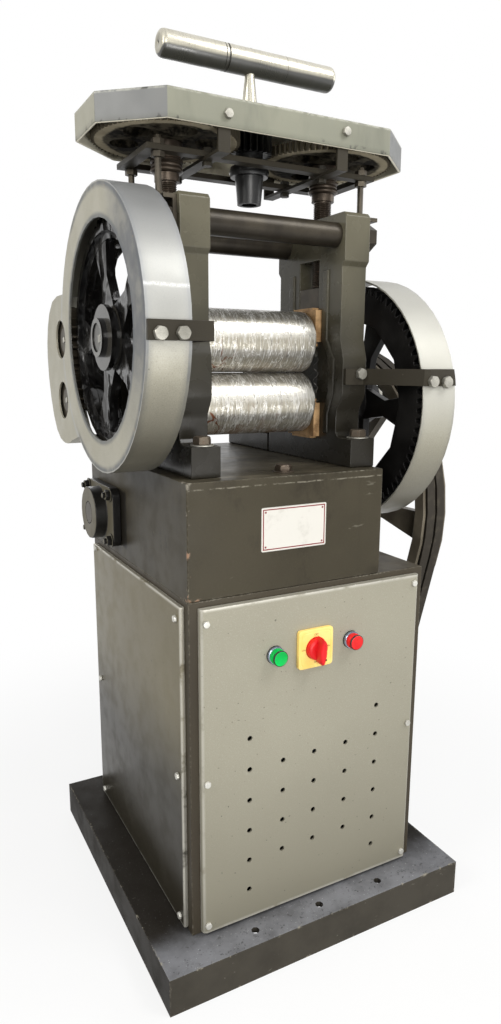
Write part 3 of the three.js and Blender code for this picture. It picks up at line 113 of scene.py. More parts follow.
class Field:
    """A number that changes over a surface. Arithmetic on fields adds Math nodes."""

    def __init__(self, finish, socket):
        self.finish = finish
        self.socket = socket

    def _math(self, operation, *values):
        return self.finish.node("ShaderNodeMath", {"operation": operation}, dict(enumerate(values)))

    def __add__(self, other):
        return self._math("ADD", self, other)

    __radd__ = __add__

    def __sub__(self, other):
        return self._math("SUBTRACT", self, other)

    def __rsub__(self, other):
        return self._math("SUBTRACT", other, self)

    def __mul__(self, other):
        return self._math("MULTIPLY", self, other)

    __rmul__ = __mul__

    def __truediv__(self, other):
        return self._math("DIVIDE", self, other)

    def __abs__(self):
        return self._math("ABSOLUTE", self)

    def lower(self, other):
        return self._math("MINIMUM", self, other)

    def higher(self, other):
        return self._math("MAXIMUM", self, other)

    def root(self):
        return self._math("SQRT", self)

    def ramp(self, low, high):
        """Rises smoothly from 0 at low to 1 at high, and falls where low is the larger."""
        return self.finish.node(
            "ShaderNodeMapRange",
            {"interpolation_type": "SMOOTHSTEP"},
            {0: self, 1: low, 2: high, 3: 0.0, 4: 1.0},
        )


class Nodes:
    """An emptied node tree. node() is the only method that makes nodes in it."""

    def __init__(self, holder):
        holder.use_nodes = True
        self.tree = holder.node_tree
        self.tree.nodes.clear()

    def node(self, kind, settings, values, output=0):
        """A node of a type, with its settings, then the values or links of its sockets."""
        made = self.tree.nodes.new(kind)
        for key, value in settings.items():
            setattr(made, key, value)
        for key, value in values.items():
            if isinstance(value, Field):
                self.tree.links.new(value.socket, made.inputs[key])
            else:
                made.inputs[key].default_value = value
        return Field(self, made.outputs[output]) if len(made.outputs) else None

    def shown_ray(self):
        """1 for a ray that the camera, a mirror or glass sends: the largest of three outputs."""
        names = ("Is Camera Ray", "Is Glossy Ray", "Is Transmission Ray")
        camera, glossy, through = (self.node("ShaderNodeLightPath", {}, {}, name) for name in names)
        return camera.higher(glossy).higher(through)


class Finish(Nodes):
    """One material, built up from a first colour by layers of paint and of pressed relief."""

    def __init__(self, name, colour):
        self.material = bpy.data.materials.new(name)
        super().__init__(self.material)
        self.places = None
        self.facing = None
        self.colour = linear(colour)
        self.normal = None

    def point(self):
        """The place on the piece in metres, from Object coordinates."""
        if self.places is None:
            self.places = self.node("ShaderNodeTexCoord", {}, {}, 3)
        return self.places

    def axis(self, index):
        """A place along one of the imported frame's axes, in metres."""
        return self.node("ShaderNodeSeparateXYZ", {}, {0: self.point()}, index)

    def mill(self, index):
        """A place along one of the mill's axes, in millimetres."""
        return self.axis(index) * 1000.0 - float(FRAME_SHIFT[index])

    def faces(self, index):
        """How far the surface faces along an axis, from -1 to 1."""
        if self.facing is None:
            self.facing = self.node("ShaderNodeNewGeometry", {}, {}, 1)
        return self.node("ShaderNodeSeparateXYZ", {}, {0: self.facing}, index)

    def from_axis(self, y, z):
        """Distance from a line along X, in millimetres: the root of two squares."""
        behind = self.mill(1) - y
        above = self.mill(2) - z
        return (behind * behind + above * above).root()

    def stretched(self, scale, turn=(0.0, 0.0, 0.0)):
        """Places turned and scaled, so that a pattern read there runs long one way."""
        return self.node("ShaderNodeMapping", {}, {0: self.point(), 2: turn, 3: scale})

    def noise(self, scale, detail=3.0, rough=0.5, place=None, bend=0.0):
        """Soft noise from 0 to 1, with a scale in waves to the metre."""
        values = {"Vector": place or self.point(), "Scale": scale, "Detail": detail}
        values.update({"Roughness": rough, "Distortion": bend})
        return self.node("ShaderNodeTexNoise", {}, values)

    def dimples(self, scale):
        """Distance to the nearest of many scattered points, with the creases between smoothed."""
        values = {"Vector": self.point(), "Scale": scale}
        return self.node("ShaderNodeTexVoronoi", {"feature": "SMOOTH_F1"}, values)

    def patchy(self, rough):
        """A roughness, and up to 0.12 more in soft patches."""
        return rough + 0.12 * self.noise(30.0, 4.0).ramp(0.35, 0.75)

    def blend(self, mask, first, second):
        """The first colour where a mask is 0 and the second where it is 1."""
        settings = {"data_type": "RGBA"}
        return self.node("ShaderNodeMix", settings, {0: mask, 6: first, 7: second}, 2)

    def paint(self, mask, tone):
        """Covers the colour so far with a tone, by a mask from 0 to 1."""
        over = tone if isinstance(tone, Field) else linear(tone)
        self.colour = self.blend(mask, self.colour, over)

    def press(self, height, depth, strength):
        """Adds relief of a depth in metres to the relief so far."""
        values = {"Height": height, "Distance": depth, "Strength": strength}
        if self.normal is not None:
            values["Normal"] = self.normal
        self.normal = self.node("ShaderNodeBump", {}, values)

    def close(self, rough, metal, shine):
        """Ends the material. shine is the specular level of its bare or painted surface."""
        values = {"Base Color": self.colour, "Roughness": rough, "Metallic": metal}
        values["Specular IOR Level"] = shine
        if self.normal is not None:
            values["Normal"] = self.normal
        shader = self.node("ShaderNodeBsdfPrincipled", {}, values)
        self.node("ShaderNodeOutputMaterial", {}, {0: shader})
        return self.material


def edge_nearness(finish, box, reach):
    """1 on the edges of a box and 0 a reach away: the second smallest distance to a face."""
    low, high = box
    gaps = []
    for index in range(3):
        place = finish.axis(index)
        gaps.append(abs(place - float(low[index])).lower(abs(place - float(high[index]))))
    first, second, third = gaps
    middle = first.lower(second).higher(first.higher(second).lower(third))
    return middle.ramp(reach, 0.0)


def enamel(
    name, base, dark, gloss, box=None, worn="8d8a80", dust="6a655a", dusty=0.0,
    foot=None, extra=None, waves=0.0015, shine=0.14,
):
    """Sprayed enamel over filler: soft clouds, fine grit, runs, scuffs, and worn box edges.
    foot is a height, a lower height and the colour there, for painted shade that darkens the
    paint towards the bottom; shine the specular level, waves the depth of the filler's
    waviness, and extra a function that adds marks of its own."""
    finish = Finish(name, base)
    clouds = finish.noise(5.0, 3.0).ramp(0.3, 0.72)
    grit = finish.noise(1100.0, 2.0, 0.6)
    finish.paint(clouds * 0.55, dark)
    finish.paint(grit.ramp(0.6, 0.8) * 0.18, worn)
    runs = finish.noise(26.0, 4.0, 0.6, finish.stretched((1.0, 1.0, 0.12))).ramp(0.56, 0.76)
    finish.paint(runs * 0.22, dark)
    scuffs = finish.noise(70.0, 3.0, 0.6, finish.stretched((0.3, 1.0, 1.0), (0.0, 0.6, 0.3)))
    scuffs = scuffs.ramp(0.7, 0.76)
    finish.paint(scuffs * 0.3, worn)
    top = finish.faces(2).ramp(0.6, 1.0) * finish.noise(30.0, 5.0).ramp(0.35, 0.7)
    finish.paint(top * dusty, dust)
    rough = gloss + 0.14 * finish.noise(25.0, 4.0).ramp(0.35, 0.75) + scuffs * 0.15
    # Painted shade: the paint darkens from foot's second height down to its first
    if foot is not None:
        low = finish.mill(2) + 120.0 * (finish.noise(9.0, 4.0) - 0.5)
        finish.paint(low.ramp(foot[1], foot[0]) * 0.9, foot[2])
    if box is not None:
        sparse = finish.noise(9.0, 3.0).ramp(0.46, 0.66)
        ragged = finish.noise(210.0, 5.0, 0.7).ramp(0.46, 0.62) * (0.25 + 0.75 * sparse)
        rubbed = edge_nearness(finish, box, 0.003) * ragged
        finish.paint(rubbed * 0.75, worn)
        rough = rough + rubbed * 0.2
    if extra is not None:
        extra(finish)
    finish.press(grit, 0.0001, 0.4)
    finish.press(finish.noise(14.0, 2.0), waves, 0.15)
    return finish.close(rough, 0.0, shine)


def pedestal_marks(finish):
    """Marks on the pedestal: black overspray beside the bearing together with the bearing's
    painted shadow, a smudge, a painted sheen (a painted highlight) on its top and dirt, a worn
    seam near the top of its front, and bare chips down the front left edge with rust at their
    foot."""
    bearing_front, bearing_foot, bearing_top = 108.0, 644.0, 748.0
    smudge_y, smudge_z = -70.0, 700.0
    side = finish.faces(0).ramp(-0.7, -0.95)
    y = finish.mill(1)
    z = finish.mill(2)
    wander = finish.noise(60.0, 4.0, 0.6) * 14.0 - 7.0
    # Black overspray and the bearing's painted shadow, on the left face beside the bearing
    over = (y + wander).ramp(bearing_front - 4.0, bearing_front + 4.0)
    over = over * (z + wander).ramp(bearing_foot - 4.0, bearing_foot + 4.0)
    over = over * (z + wander).ramp(bearing_top + 4.0, bearing_top - 4.0) * side
    finish.paint(over * 0.9, "171512")
    smudge = finish.noise(150.0, 4.0, 0.7, finish.stretched((1.0, 1.0, 0.35))).ramp(0.5, 0.62)
    patch = abs(y - smudge_y + wander).ramp(30.0, 12.0)
    patch = patch * abs(z - smudge_z - wander).ramp(26.0, 10.0)
    finish.paint(smudge * patch * side * 0.7, "2d2a24")
    # Painted sheen: a painted highlight in patches on the top faces
    up = finish.faces(2).ramp(0.8, 0.97)
    sheen = finish.noise(16.0, 5.0, 0.65, finish.stretched((0.5, 1.0, 1.0), (0.0, 0.0, 0.4)))
    finish.paint(sheen.ramp(0.5, 0.72) * up * 0.55, "8d8470")
    dirt = finish.noise(11.0, 6.0, 0.7, finish.stretched((1.0, 1.0, 0.6), (0.0, 0.5, 0.2)))
    finish.paint(dirt.ramp(0.5, 0.68) * 0.5, "2b2721")
    seam = abs(z - (DECK - 11.0) - 0.25 * wander).ramp(1.6, 0.3) * finish.faces(1).ramp(-0.7, -0.95)
    seam = seam * finish.noise(40.0, 5.0, 0.7).ramp(0.45, 0.6)
    finish.paint(seam * 0.7, "8f8a7c")
    edge = edge_nearness(finish, pedestal_box, 0.006)
    corner = edge * finish.mill(0).ramp(-150.0, -175.0) * y.ramp(-130.0, -150.0)
    chips = finish.noise(70.0, 4.0, 0.7).ramp(0.54, 0.62)
    finish.paint(corner * chips * 0.8, "9a9488")
    finish.paint(corner * chips * z.ramp(760.0, 700.0) * 0.6, "a5714a")


def plinth_marks(finish):
    """The plinth's dust: a bluish grey bloom on its top at the front, fine pale specks, and
    scratches on its front, whose faces are painted lighter all over as painted light."""
    up = finish.faces(2).ramp(0.7, 0.95)
    wander = finish.noise(8.0, 5.0, 0.65)
    bloom = (finish.mill(1) - 90.0 * (wander - 0.5)).ramp(-120.0, -205.0) * up
    patches = finish.noise(14.0, 5.0, 0.6).ramp(0.25, 0.65)
    finish.paint(bloom * (0.45 + 0.45 * patches), "85868a")
    specks = finish.noise(280.0, 3.0, 0.7).ramp(0.65, 0.71)
    finish.paint(specks * bloom.higher(0.2 * up) * 0.7, "c9cac9")
    dark = finish.noise(150.0, 4.0, 0.7).ramp(0.58, 0.66)
    finish.paint(dark * bloom * 0.6, "33322f")
    # Painted light: the front faces painted lighter all over, in soft patches
    front = finish.faces(1).ramp(-0.8, -0.97)
    finish.paint(front * (0.45 + 0.3 * patches), "4f4b43")
    marks = finish.noise(150.0, 4.0, 0.7, finish.stretched((0.35, 1.0, 1.0), (0.0, 0.5, 0.0)))
    finish.paint(marks.ramp(0.66, 0.72) * front * 0.6, "8d897e")
    edge = edge_nearness(finish, base_box, 0.0045)
    chips = finish.noise(45.0, 5.0, 0.75).ramp(0.56, 0.62) * edge
    finish.paint(chips * 0.8, "a09a8b")


def hammertone(finish, dimple_scale, cloud_scale, cloud, rim, grain, relief):
    """Hammertone paint: soft clouds, round dimples with pale rims, and a fine dark grain, which
    is given back. cloud, rim and grain are each a share and a tone, relief the dimples' depth
    and strength."""
    dimples = finish.dimples(dimple_scale)
    fine = finish.noise(650.0, 2.0, 0.6)
    finish.paint(finish.noise(cloud_scale, 3.0).ramp(0.3, 0.75) * cloud[0], cloud[1])
    finish.paint(dimples.ramp(0.42, 0.8) * rim[0], rim[1])
    finish.paint(fine.ramp(0.5, 0.72) * grain[0], grain[1])
    finish.press(dimples, *relief)
    finish.press(fine, 0.0001, 0.4)
    return fine


def hammered(name, box, base, dark, light, rough_base, metal, shine=0.18, foot=None, stain=0.25):
    """Hammertone paint: fine round dimples with pale rims, soft clouds, painted shade that darkens
    it towards the foot, and folded edges rubbed to bright metal."""
    finish = Finish(name, base)
    hammertone(finish, 720.0, 3.2, (0.5, dark), (0.3, light), (0.6, dark), (0.0003, 0.25))
    specks = finish.noise(420.0, 3.0, 0.6).ramp(0.72, 0.78)
    finish.paint(specks * 0.5, light)
    stains = finish.noise(18.0, 5.0, 0.6).ramp(0.64, 0.82)
    finish.paint(stains * stain, dark)
    rough = finish.patchy(rough_base)
    # Painted shade: the paint darkens from foot's second height down to its first
    if foot is not None:
        low = (finish.mill(2) + 60.0 * (finish.noise(4.0, 3.0) - 0.5)).ramp(foot[1], foot[0])
        finish.paint(low * 0.9, foot[2])
    pits = finish.noise(170.0, 2.0, 0.5).ramp(0.725, 0.75)
    finish.paint(pits * 0.7, "4a463d")
    ragged = finish.noise(35.0, 4.0, 0.6).ramp(0.28, 0.5)
    bright = edge_nearness(finish, box, 0.006) * ragged
    finish.paint(bright * 0.75, "d4d1c6")
    rust = finish.noise(240.0, 4.0, 0.65).ramp(0.66, 0.72) * bright
    finish.paint(rust * 0.8, "5f4c3a")
    return finish.close(rough, metal + 0.45 * bright, shine)


def guard_sheet(name, axis_z, sides, mouth, rub, sky):
    """Pale hammertone on a rolled guard, its rims and its mouth's lip rubbed to bluish grey. On
    the band, painted light: a painted sky reflection where it faces up, a greyer painted
    reflection on its top, a thin painted highlight line, and painted shade underneath and on its
    inner face. rub is how far the rubbing has gone, from 0 to 1, and also scales the painted top
    reflection and highlight line; sky is the tone of the painted reflection on what faces up."""
    finish = Finish(name, "a8a493")
    clouds, rims, grain = (0.4, "938f80"), (0.2, "cfcdc2"), (0.45, "77746a")
    fine = hammertone(finish, 900.0, 6.0, clouds, rims, grain, (0.0002, 0.2))
    away = finish.from_axis(0.0, axis_z)
    x = finish.mill(0)
    side = abs(x - sides[0]).lower(abs(x - sides[1]))
    past = away - GUARD_RADIUS
    rim = (past * past + side * side).root().ramp(13.0, 4.0) * rub
    rim = rim * finish.mill(1).ramp(150.0, 110.0) * past.ramp(-1.0, -3.0).higher(0.35)
    lip = abs(away - mouth).ramp(9.0, 2.0) * side.ramp(5.0, 3.0) * rub
    ragged = finish.noise(50.0, 4.0, 0.6).ramp(0.25, 0.55)
    rubbed = rim.higher(lip * 0.9) * (0.5 + 0.5 * ragged)
    front = finish.mill(1).ramp(-20.0, -140.0) * side.ramp(5.0, 3.0)
    front = front * finish.mill(2).ramp(axis_z - 180.0, axis_z)
    streaks = finish.noise(24.0, 4.0, 0.6).ramp(0.35, 0.65)
    finish.paint(front * (0.6 + 0.35 * streaks) * rub, "585a5d")
    finish.paint(rubbed * 0.85, "575b60")
    chips = finish.noise(80.0, 4.0, 0.7).ramp(0.62, 0.68) * rim
    finish.paint(chips * 0.8, "8f7a62")
    band = past.ramp(-3.0, -1.0) * past.ramp(8.0, 4.0)
    # Painted reflection: the band's upward faces take the sky tone
    sky_reflection = finish.faces(2).ramp(-0.35, 0.15) * band
    finish.paint(sky_reflection * 0.75, sky)
    # Painted reflection: a greyer tone on the band's top
    top = finish.faces(2).ramp(0.3, 0.8) * band * rub
    finish.paint(top * 0.6, "77797c")
    # Painted highlight: a thin white line round the band where it faces a little upwards
    wander = 0.04 * finish.noise(30.0, 4.0, 0.6)
    line = abs(finish.faces(2) - 0.27 + wander).ramp(0.02, 0.0) * band * rub
    finish.paint(line * fine.ramp(0.3, 0.6) * 0.4, "ffffff")
    pits = finish.noise(90.0, 3.0, 0.6).ramp(0.73, 0.77)
    finish.paint(pits * 0.7, "4f4b42")
    # Painted shade under the band
    underside_shade = finish.faces(2).ramp(-0.05, -0.9) * band
    finish.paint(underside_shade * 0.72, "4b473d")
    # Painted shade on the band's inner face
    inner = side.ramp(2.0, 8.0) * past.ramp(-1.4, -2.4)
    finish.paint(inner * 0.6, "4c4a45")
    return finish.close(finish.patchy(0.38) + rubbed * 0.1, 0.3, 0.4)


def cover_sheet(name):
    """Olive grey enamel outside with a worn top edge, and painted light: a painted bluish reflection
    on the chamfers, the left-facing ends painted lighter, and the inside and undersides painted pale
    in smeared patches.
    """
    finish = Finish(name, "888878")
    grit = finish.noise(1100.0, 2.0, 0.6)
    clouds = finish.noise(6.0, 3.0).ramp(0.3, 0.75)
    finish.paint(clouds * 0.6, "74756a")
    finish.paint(grit.ramp(0.58, 0.8) * 0.2, "a6a697")
    streaks = finish.noise(20.0, 4.0, 0.6, finish.stretched((1.0, 1.0, 0.3))).ramp(0.5, 0.7)
    finish.paint(streaks * 0.3, "5f6055")
    # Painted reflection: a bluish grey on the faces that turn half way between front and side
    chamfer = abs(finish.faces(0)).ramp(0.25, 0.5) * abs(finish.faces(1)).ramp(0.25, 0.5)
    finish.paint(chamfer * 0.75, "6b6c70")
    # Painted light: the left-facing ends painted lighter
    end = finish.faces(0).ramp(-0.9, -0.98)
    finish.paint(end * 0.5, "b0ac9c")
    low = finish.mill(2).ramp(COVER_TOP - 30.0, COVER_TOP - 40.0)
    finish.paint(low * 0.35, "55554b")
    edge = finish.mill(2).ramp(COVER_TOP - 4.5, COVER_TOP - 2.0)
    edge = edge * finish.faces(2).ramp(0.97, 0.8)
    ragged = finish.noise(90.0, 4.0, 0.6).ramp(0.35, 0.6)
    finish.paint(edge * ragged * 0.6, "b4b4a8")
    chips = finish.noise(55.0, 3.0, 0.6).ramp(0.63, 0.67) * edge.higher(low)
    finish.paint(chips * 0.85, "3a3a35")
    # Painted light: the inner faces and the undersides painted pale, in smeared patches
    outward = finish.mill(0) * finish.faces(0) / COVER_HALF_LENGTH
    outward = outward + finish.mill(1) * finish.faces(1) / COVER_HALF_DEPTH
    inside = outward.ramp(-0.2, -0.5).higher(finish.faces(2).ramp(-0.5, -0.8))
    smears = finish.noise(14.0, 5.0, 0.65).ramp(0.54, 0.72)
    pale = finish.blend(smears * 0.6, linear("e6e0cc"), linear("6e6757"))
    finish.paint(inside, pale)
    top = finish.faces(2).ramp(0.7, 1.0) * finish.noise(20.0, 5.0).ramp(0.35, 0.7)
    finish.paint(top * 0.3, "a7a597")
    finish.press(grit, 0.0001, 0.5)
    finish.press(finish.noise(22.0, 2.0), 0.001, 0.1)
    return finish.close(finish.patchy(0.42), 0.1, 0.3)


def steel(
    name, base, dark, rough_base, rust=0.0, rust_colour="6b4a33", grain=(1.0, 1.0, 1.0),
    sheen=1.0, ends=None,
):
    """Bare steel: long fine turning marks, cloudy tone, painted shade on the undersides, and specks
    of rust.
    What lies further left than ends is dark with grease."""
    finish = Finish(name, base)
    marks = finish.noise(700.0, 2.0, 0.5, finish.stretched(grain))
    clouds = finish.noise(30.0, 4.0).ramp(0.3, 0.72)
    finish.paint(clouds * 0.7, dark)
    finish.paint(marks.ramp(0.45, 0.7) * 0.3, dark)
    # Painted shade: the undersides darkened
    finish.paint(finish.faces(2).ramp(0.1, -0.7) * 0.5, dark)
    if ends is not None:
        grease = finish.mill(0).ramp(ends + 1.0, ends)
        finish.paint(grease * 0.9, "4d4b46")
    edge = 0.78 - 0.22 * rust
    spots = finish.noise(160.0, 5.0, 0.65).ramp(edge - 0.06, edge) * min(rust * 2, 1.0)
    finish.paint(spots, rust_colour)
    rough = rough_base + marks * 0.12 + spots * 0.35
    metal = sheen * (1.0 - spots * 0.8)
    finish.press(marks, 0.00006, 0.4)
    return finish.close(rough, metal, 0.25)


def bright_plate(name):
    """Nickel plate on a turned bar: fine turning rings, and painted light and shade: pale above,
    darker below.
    """
    finish = Finish(name, "d0ccbe")
    rings = finish.noise(900.0, 2.0, 0.5, finish.stretched((1.0, 0.04, 0.04)))
    patches = finish.noise(26.0, 4.0, 0.6).ramp(0.35, 0.7)
    finish.paint(patches * 0.4, "aca797")
    # Painted light and shade: paler where the bar faces up, darker where it faces down
    up = finish.faces(2) + 0.16 * (finish.noise(18.0, 3.0) - 0.5)
    finish.paint(up.ramp(0.35, -0.1) * 0.5, "8d8877")
    finish.paint(up.ramp(-0.16, -0.36) * 0.9, "4a4b4d")
    joint_x, groove_x, scribe_x = -42.1, -47.6, 59.1
    x = finish.mill(0)
    on_bar = finish.mill(2).ramp(HANDLE_Z - 22.0, HANDLE_Z - 21.0)
    lines = abs(x - joint_x).ramp(2.0, 1.2).higher(abs(x - groove_x).ramp(1.0, 0.6))
    lines = lines.higher(abs(x - scribe_x).ramp(0.8, 0.5) * 0.5) * on_bar
    finish.paint(lines * 0.9, "15130f")
    finish.paint(rings.ramp(0.5, 0.72) * 0.35, "6f6b62")
    thumb = finish.noise(55.0, 5.0, 0.65).ramp(0.62, 0.74)
    finish.paint(thumb * 0.35, "6b6355")
    rough = 0.22 + 0.16 * patches + 0.1 * rings
    finish.press(rings, 0.00008, 0.5)
    return finish.close(rough, 0.8 - 0.7 * lines, 0.5)


def bronze(name):
    """Sawn and milled bronze: fine cross marks, darker where oil has soaked in."""
    finish = Finish(name, "cba679")
    marks = finish.noise(500.0, 2.0, 0.5, finish.stretched((0.15, 1.0, 1.0)))
    oil = finish.noise(40.0, 5.0, 0.65).ramp(0.38, 0.68)
    finish.paint(oil * 0.85, "7d5c3b")
    finish.paint(marks.ramp(0.5, 0.75) * 0.4, "d3b080")
    rough = 0.46 + marks * 0.2
    finish.press(marks, 0.00008, 0.5)
    return finish.close(rough, 0.3, 0.3)


def crinkled_film(name, axis_z, streak):
    """Clear film drawn tight round ground steel: thin bright creases round the roll, crossing
    slanted ones, painted shadows beside them, painted reflections by height on the roll (a darker
    band above and below, a grey band low down and a warm tone underneath), a painted highlight
    band, and red-brown threads."""
    finish = Finish(name, "b5af9f")
    height = (finish.mill(2) - axis_z) / ROLL_RADIUS
    across = finish.mill(0)
    wander = finish.noise(30.0, 4.0, 0.6)
    tone = finish.noise(34.0, 4.0, 0.65, finish.stretched((0.5, 1.0, 1.0))).ramp(0.35, 0.65)
    finish.paint(tone * 0.4, "868174")
    # Painted reflection: darker bands above and below, a grey band low down, a warm tone underneath
    band = (height + 0.12 * wander).ramp(0.62, 0.8)
    band = band.higher((height - 0.1 * wander).ramp(-0.1, -0.55) * 0.3)
    finish.paint(band * 0.6, "5d5b57")
    lower = abs(height + 0.36 + 0.1 * wander).ramp(0.16, 0.06)
    finish.paint(lower * 0.35, "77777a")
    warm_reflection = (height + 0.1 * wander).ramp(-0.62, -0.85) * finish.noise(40.0, 4.0).ramp(0.4, 0.6)
    finish.paint(warm_reflection * 0.6 * streak, "9a7a60")
    # Painted highlight: a bright band round the roll a little above its axis
    gleam = abs(height - 0.44 + 0.2 * wander).ramp(0.34, 0.1)
    finish.paint(gleam * 0.5, "efede6")
    place = finish.stretched((1.0, 0.12, 0.12), (0.1, 0.0, 0.0))
    round_folds = abs(finish.noise(95.0, 3.0, 0.6, place, 0.25) - 0.5).ramp(0.022, 0.0)
    slanted = finish.stretched((1.0, 0.14, 0.14), (0.0, 0.65, 0.0))
    cross_folds = abs(finish.noise(60.0, 3.0, 0.6, slanted, 0.3) - 0.5).ramp(0.012, 0.0)
    leaning = finish.stretched((1.0, 0.14, 0.14), (0.0, -0.5, 0.3))
    lean_folds = abs(finish.noise(50.0, 3.0, 0.6, leaning, 0.3) - 0.5).ramp(0.01, 0.0)
    fine = finish.stretched((1.0, 0.1, 0.1), (0.2, 0.1, 0.1))
    fine_folds = abs(finish.noise(260.0, 2.0, 0.5, fine, 0.2) - 0.5).ramp(0.03, 0.0)
    cross_folds = cross_folds.higher(lean_folds)
    folds = round_folds.higher(cross_folds * 0.8).higher(fine_folds * 0.6)
    shadow = abs(finish.noise(95.0, 3.0, 0.6, place, 0.25) - 0.47).ramp(0.02, 0.0)
    finish.paint(shadow * 0.6, "4a4742")
    finish.paint(folds * 0.75, "fbfaf6")
    thread = finish.stretched((0.9, 0.5, 0.35), (0.0, 0.5, 0.0))
    threads = abs(finish.noise(24.0, 3.0, 0.6, thread, 0.6) - 0.5).ramp(0.018, 0.004)
    low = height.ramp(0.4, -0.3) * (across + 40.0 * wander).ramp(20.0, -60.0).higher(0.25 * streak)
    finish.paint(threads * low, "6f4128")
    rough = 0.24 + 0.14 * tone
    finish.press(folds - 0.6 * shadow, 0.0004, 0.3)
    finish.press(tone, 0.0012, 0.06)
    return finish.close(rough, 0.6, 0.4)


def rubber(name):
    """Belt rubber: woven jacket lines and grey dust."""
    finish = Finish(name, "38342e")
    dust = finish.noise(60.0, 4.0).ramp(0.5, 0.8)
    finish.paint(dust * 0.4, "615b4f")
    weave = finish.noise(900.0, 2.0, 0.5)
    finish.press(weave, 0.0002, 0.6)
    return finish.close(0.7 + 0.1 * weave, 0.0, 0.15)


def moulded(name, base, dark, rough_base, shine=0.4):
    """Moulded plastic: faint flow marks and handling shine."""
    finish = Finish(name, dark)
    flow = finish.noise(40.0, 3.0).ramp(0.3, 0.75)
    finish.paint(flow, base)
    rough = rough_base + 0.1 * finish.noise(120.0, 3.0)
    finish.press(finish.noise(500.0, 2.0), 0.00004, 0.5)
    return finish.close(rough, 0.0, shine)


def cast_black(
    name, base="1d1c1b", dark="0e0d0d", rub="4d4a45", shine=0.3, hub=None, faced=None,
    gloss=0.3, ripple=0.2, wave=0.0012, pitch=45.0,
):
    """Black gloss paint on a casting: a soft sand texture, rubbed places, and a greyer hub.
    hub is the height of the hub's axis, faced the paler colour that what faces left takes as
    painted light, lit from the left, and gloss the lowest roughness. ripple, wave and pitch are the
    strength, depth and scale of the waves in the paint."""
    finish = Finish(name, dark)
    sand = finish.noise(260.0, 4.0, 0.6)
    clouds = finish.noise(18.0, 4.0).ramp(0.3, 0.75)
    finish.paint(clouds, base)
    rubs = finish.noise(90.0, 5.0, 0.7).ramp(0.64, 0.76)
    finish.paint(rubs * 0.35, rub)
    rough = gloss + 0.16 * clouds + rubs * 0.2
    if faced is not None:
        # Painted light: what faces left takes a paler tone, as lit from the left
        left = finish.faces(0).ramp(-0.75, -0.95)
        finish.paint(left * 0.8, faced)
        rough = rough + 0.1 * left
    if hub is not None:
        bore, cap_edge, ring_edge, arm_start = 21.0, 29.0, 49.5, 60.0
        away = finish.from_axis(0.0, hub)
        left = finish.faces(0).ramp(-0.75, -0.95)
        cap = away.ramp(cap_edge + 0.5, cap_edge - 0.5) * away.ramp(bore - 0.5, bore + 0.5) * left
        ring = away.ramp(ring_edge + 0.5, ring_edge - 0.5) * left
        ring = ring * away.ramp(cap_edge - 0.5, cap_edge + 0.5)
        cloth = finish.noise(80.0, 4.0).ramp(0.3, 0.7)
        grey = finish.blend(cloth, linear("5f5d57"), linear("474540"))
        finish.paint(cap, grey)
        finish.paint(ring * 0.8, "3d3a34")
        arm = away.ramp(arm_start, arm_start + 4.0) * left
        finish.paint(arm * clouds * 0.3, "35322c")
        rough = rough + cap * 0.12
    finish.press(sand, 0.0004, 0.35)
    if hub is not None:
        ripple = ripple * away.ramp(arm_start - 8.0, arm_start)
    finish.press(finish.noise(pitch, 1.5), wave, ripple)
    return finish.close(rough, 0.0, shine)


def plain_label(name, border, corner):
    """An off-white plate with a thin dark red border line and small plain corner marks."""
    finish = Finish(name, "d9d6ce")
    beside = LABEL_HALF[0] - abs(finish.mill(0) - LABEL_CENTRE[0])
    above = LABEL_HALF[1] - abs(finish.mill(2) - LABEL_CENTRE[1])
    inset = beside.lower(above)
    line = abs(inset - border).ramp(1.1, 0.7)
    marks = (beside - corner) * (beside - corner) + (above - corner) * (above - corner)
    marks = marks.root().ramp(1.9, 1.4)
    grime = finish.noise(40.0, 5.0, 0.65).ramp(0.55, 0.75)
    finish.paint(grime * 0.25, "a19c90")
    worn = finish.noise(160.0, 4.0, 0.6).ramp(0.66, 0.72)
    finish.paint(line.higher(marks) * (1.0 - 0.5 * worn), "7e2a2b")
    rim = inset.ramp(1.2, 0.2)
    finish.paint(rim * 0.6, "6d675c")
    rough = 0.4 + 0.2 * grime
    return finish.close(rough, 0.0, 0.3)


def greased_gear(name, axis_x):
    """A cut gear: a pale rim, and black grease over its web and its teeth."""
    finish = Finish(name, "b5ab94")
    x = finish.mill(0) - axis_x
    y = finish.mill(1)
    away = (x * x + y * y).root()
    wander = finish.noise(50.0, 5.0, 0.65)
    clouds = finish.noise(30.0, 4.0).ramp(0.3, 0.72)
    finish.paint(clouds * 0.6, "7d7461")
    web = (away + 16.0 * (wander - 0.5)).ramp(SCREW_GEAR_RADIUS * 0.88, SCREW_GEAR_RADIUS * 0.83)
    finish.paint(web * (0.78 + 0.2 * wander.ramp(0.4, 0.6)), "121110")
    teeth = away.ramp(SCREW_GEAR_RADIUS - 3.0, SCREW_GEAR_RADIUS - 1.0)
    finish.paint(teeth * 0.8, "2a2620")
    rings = finish.noise(300.0, 2.0, 0.5)
    rough = 0.42 + 0.15 * rings - 0.12 * web
    finish.press(rings, 0.0001, 0.4)
    return finish.close(rough, 0.05, 0.0)


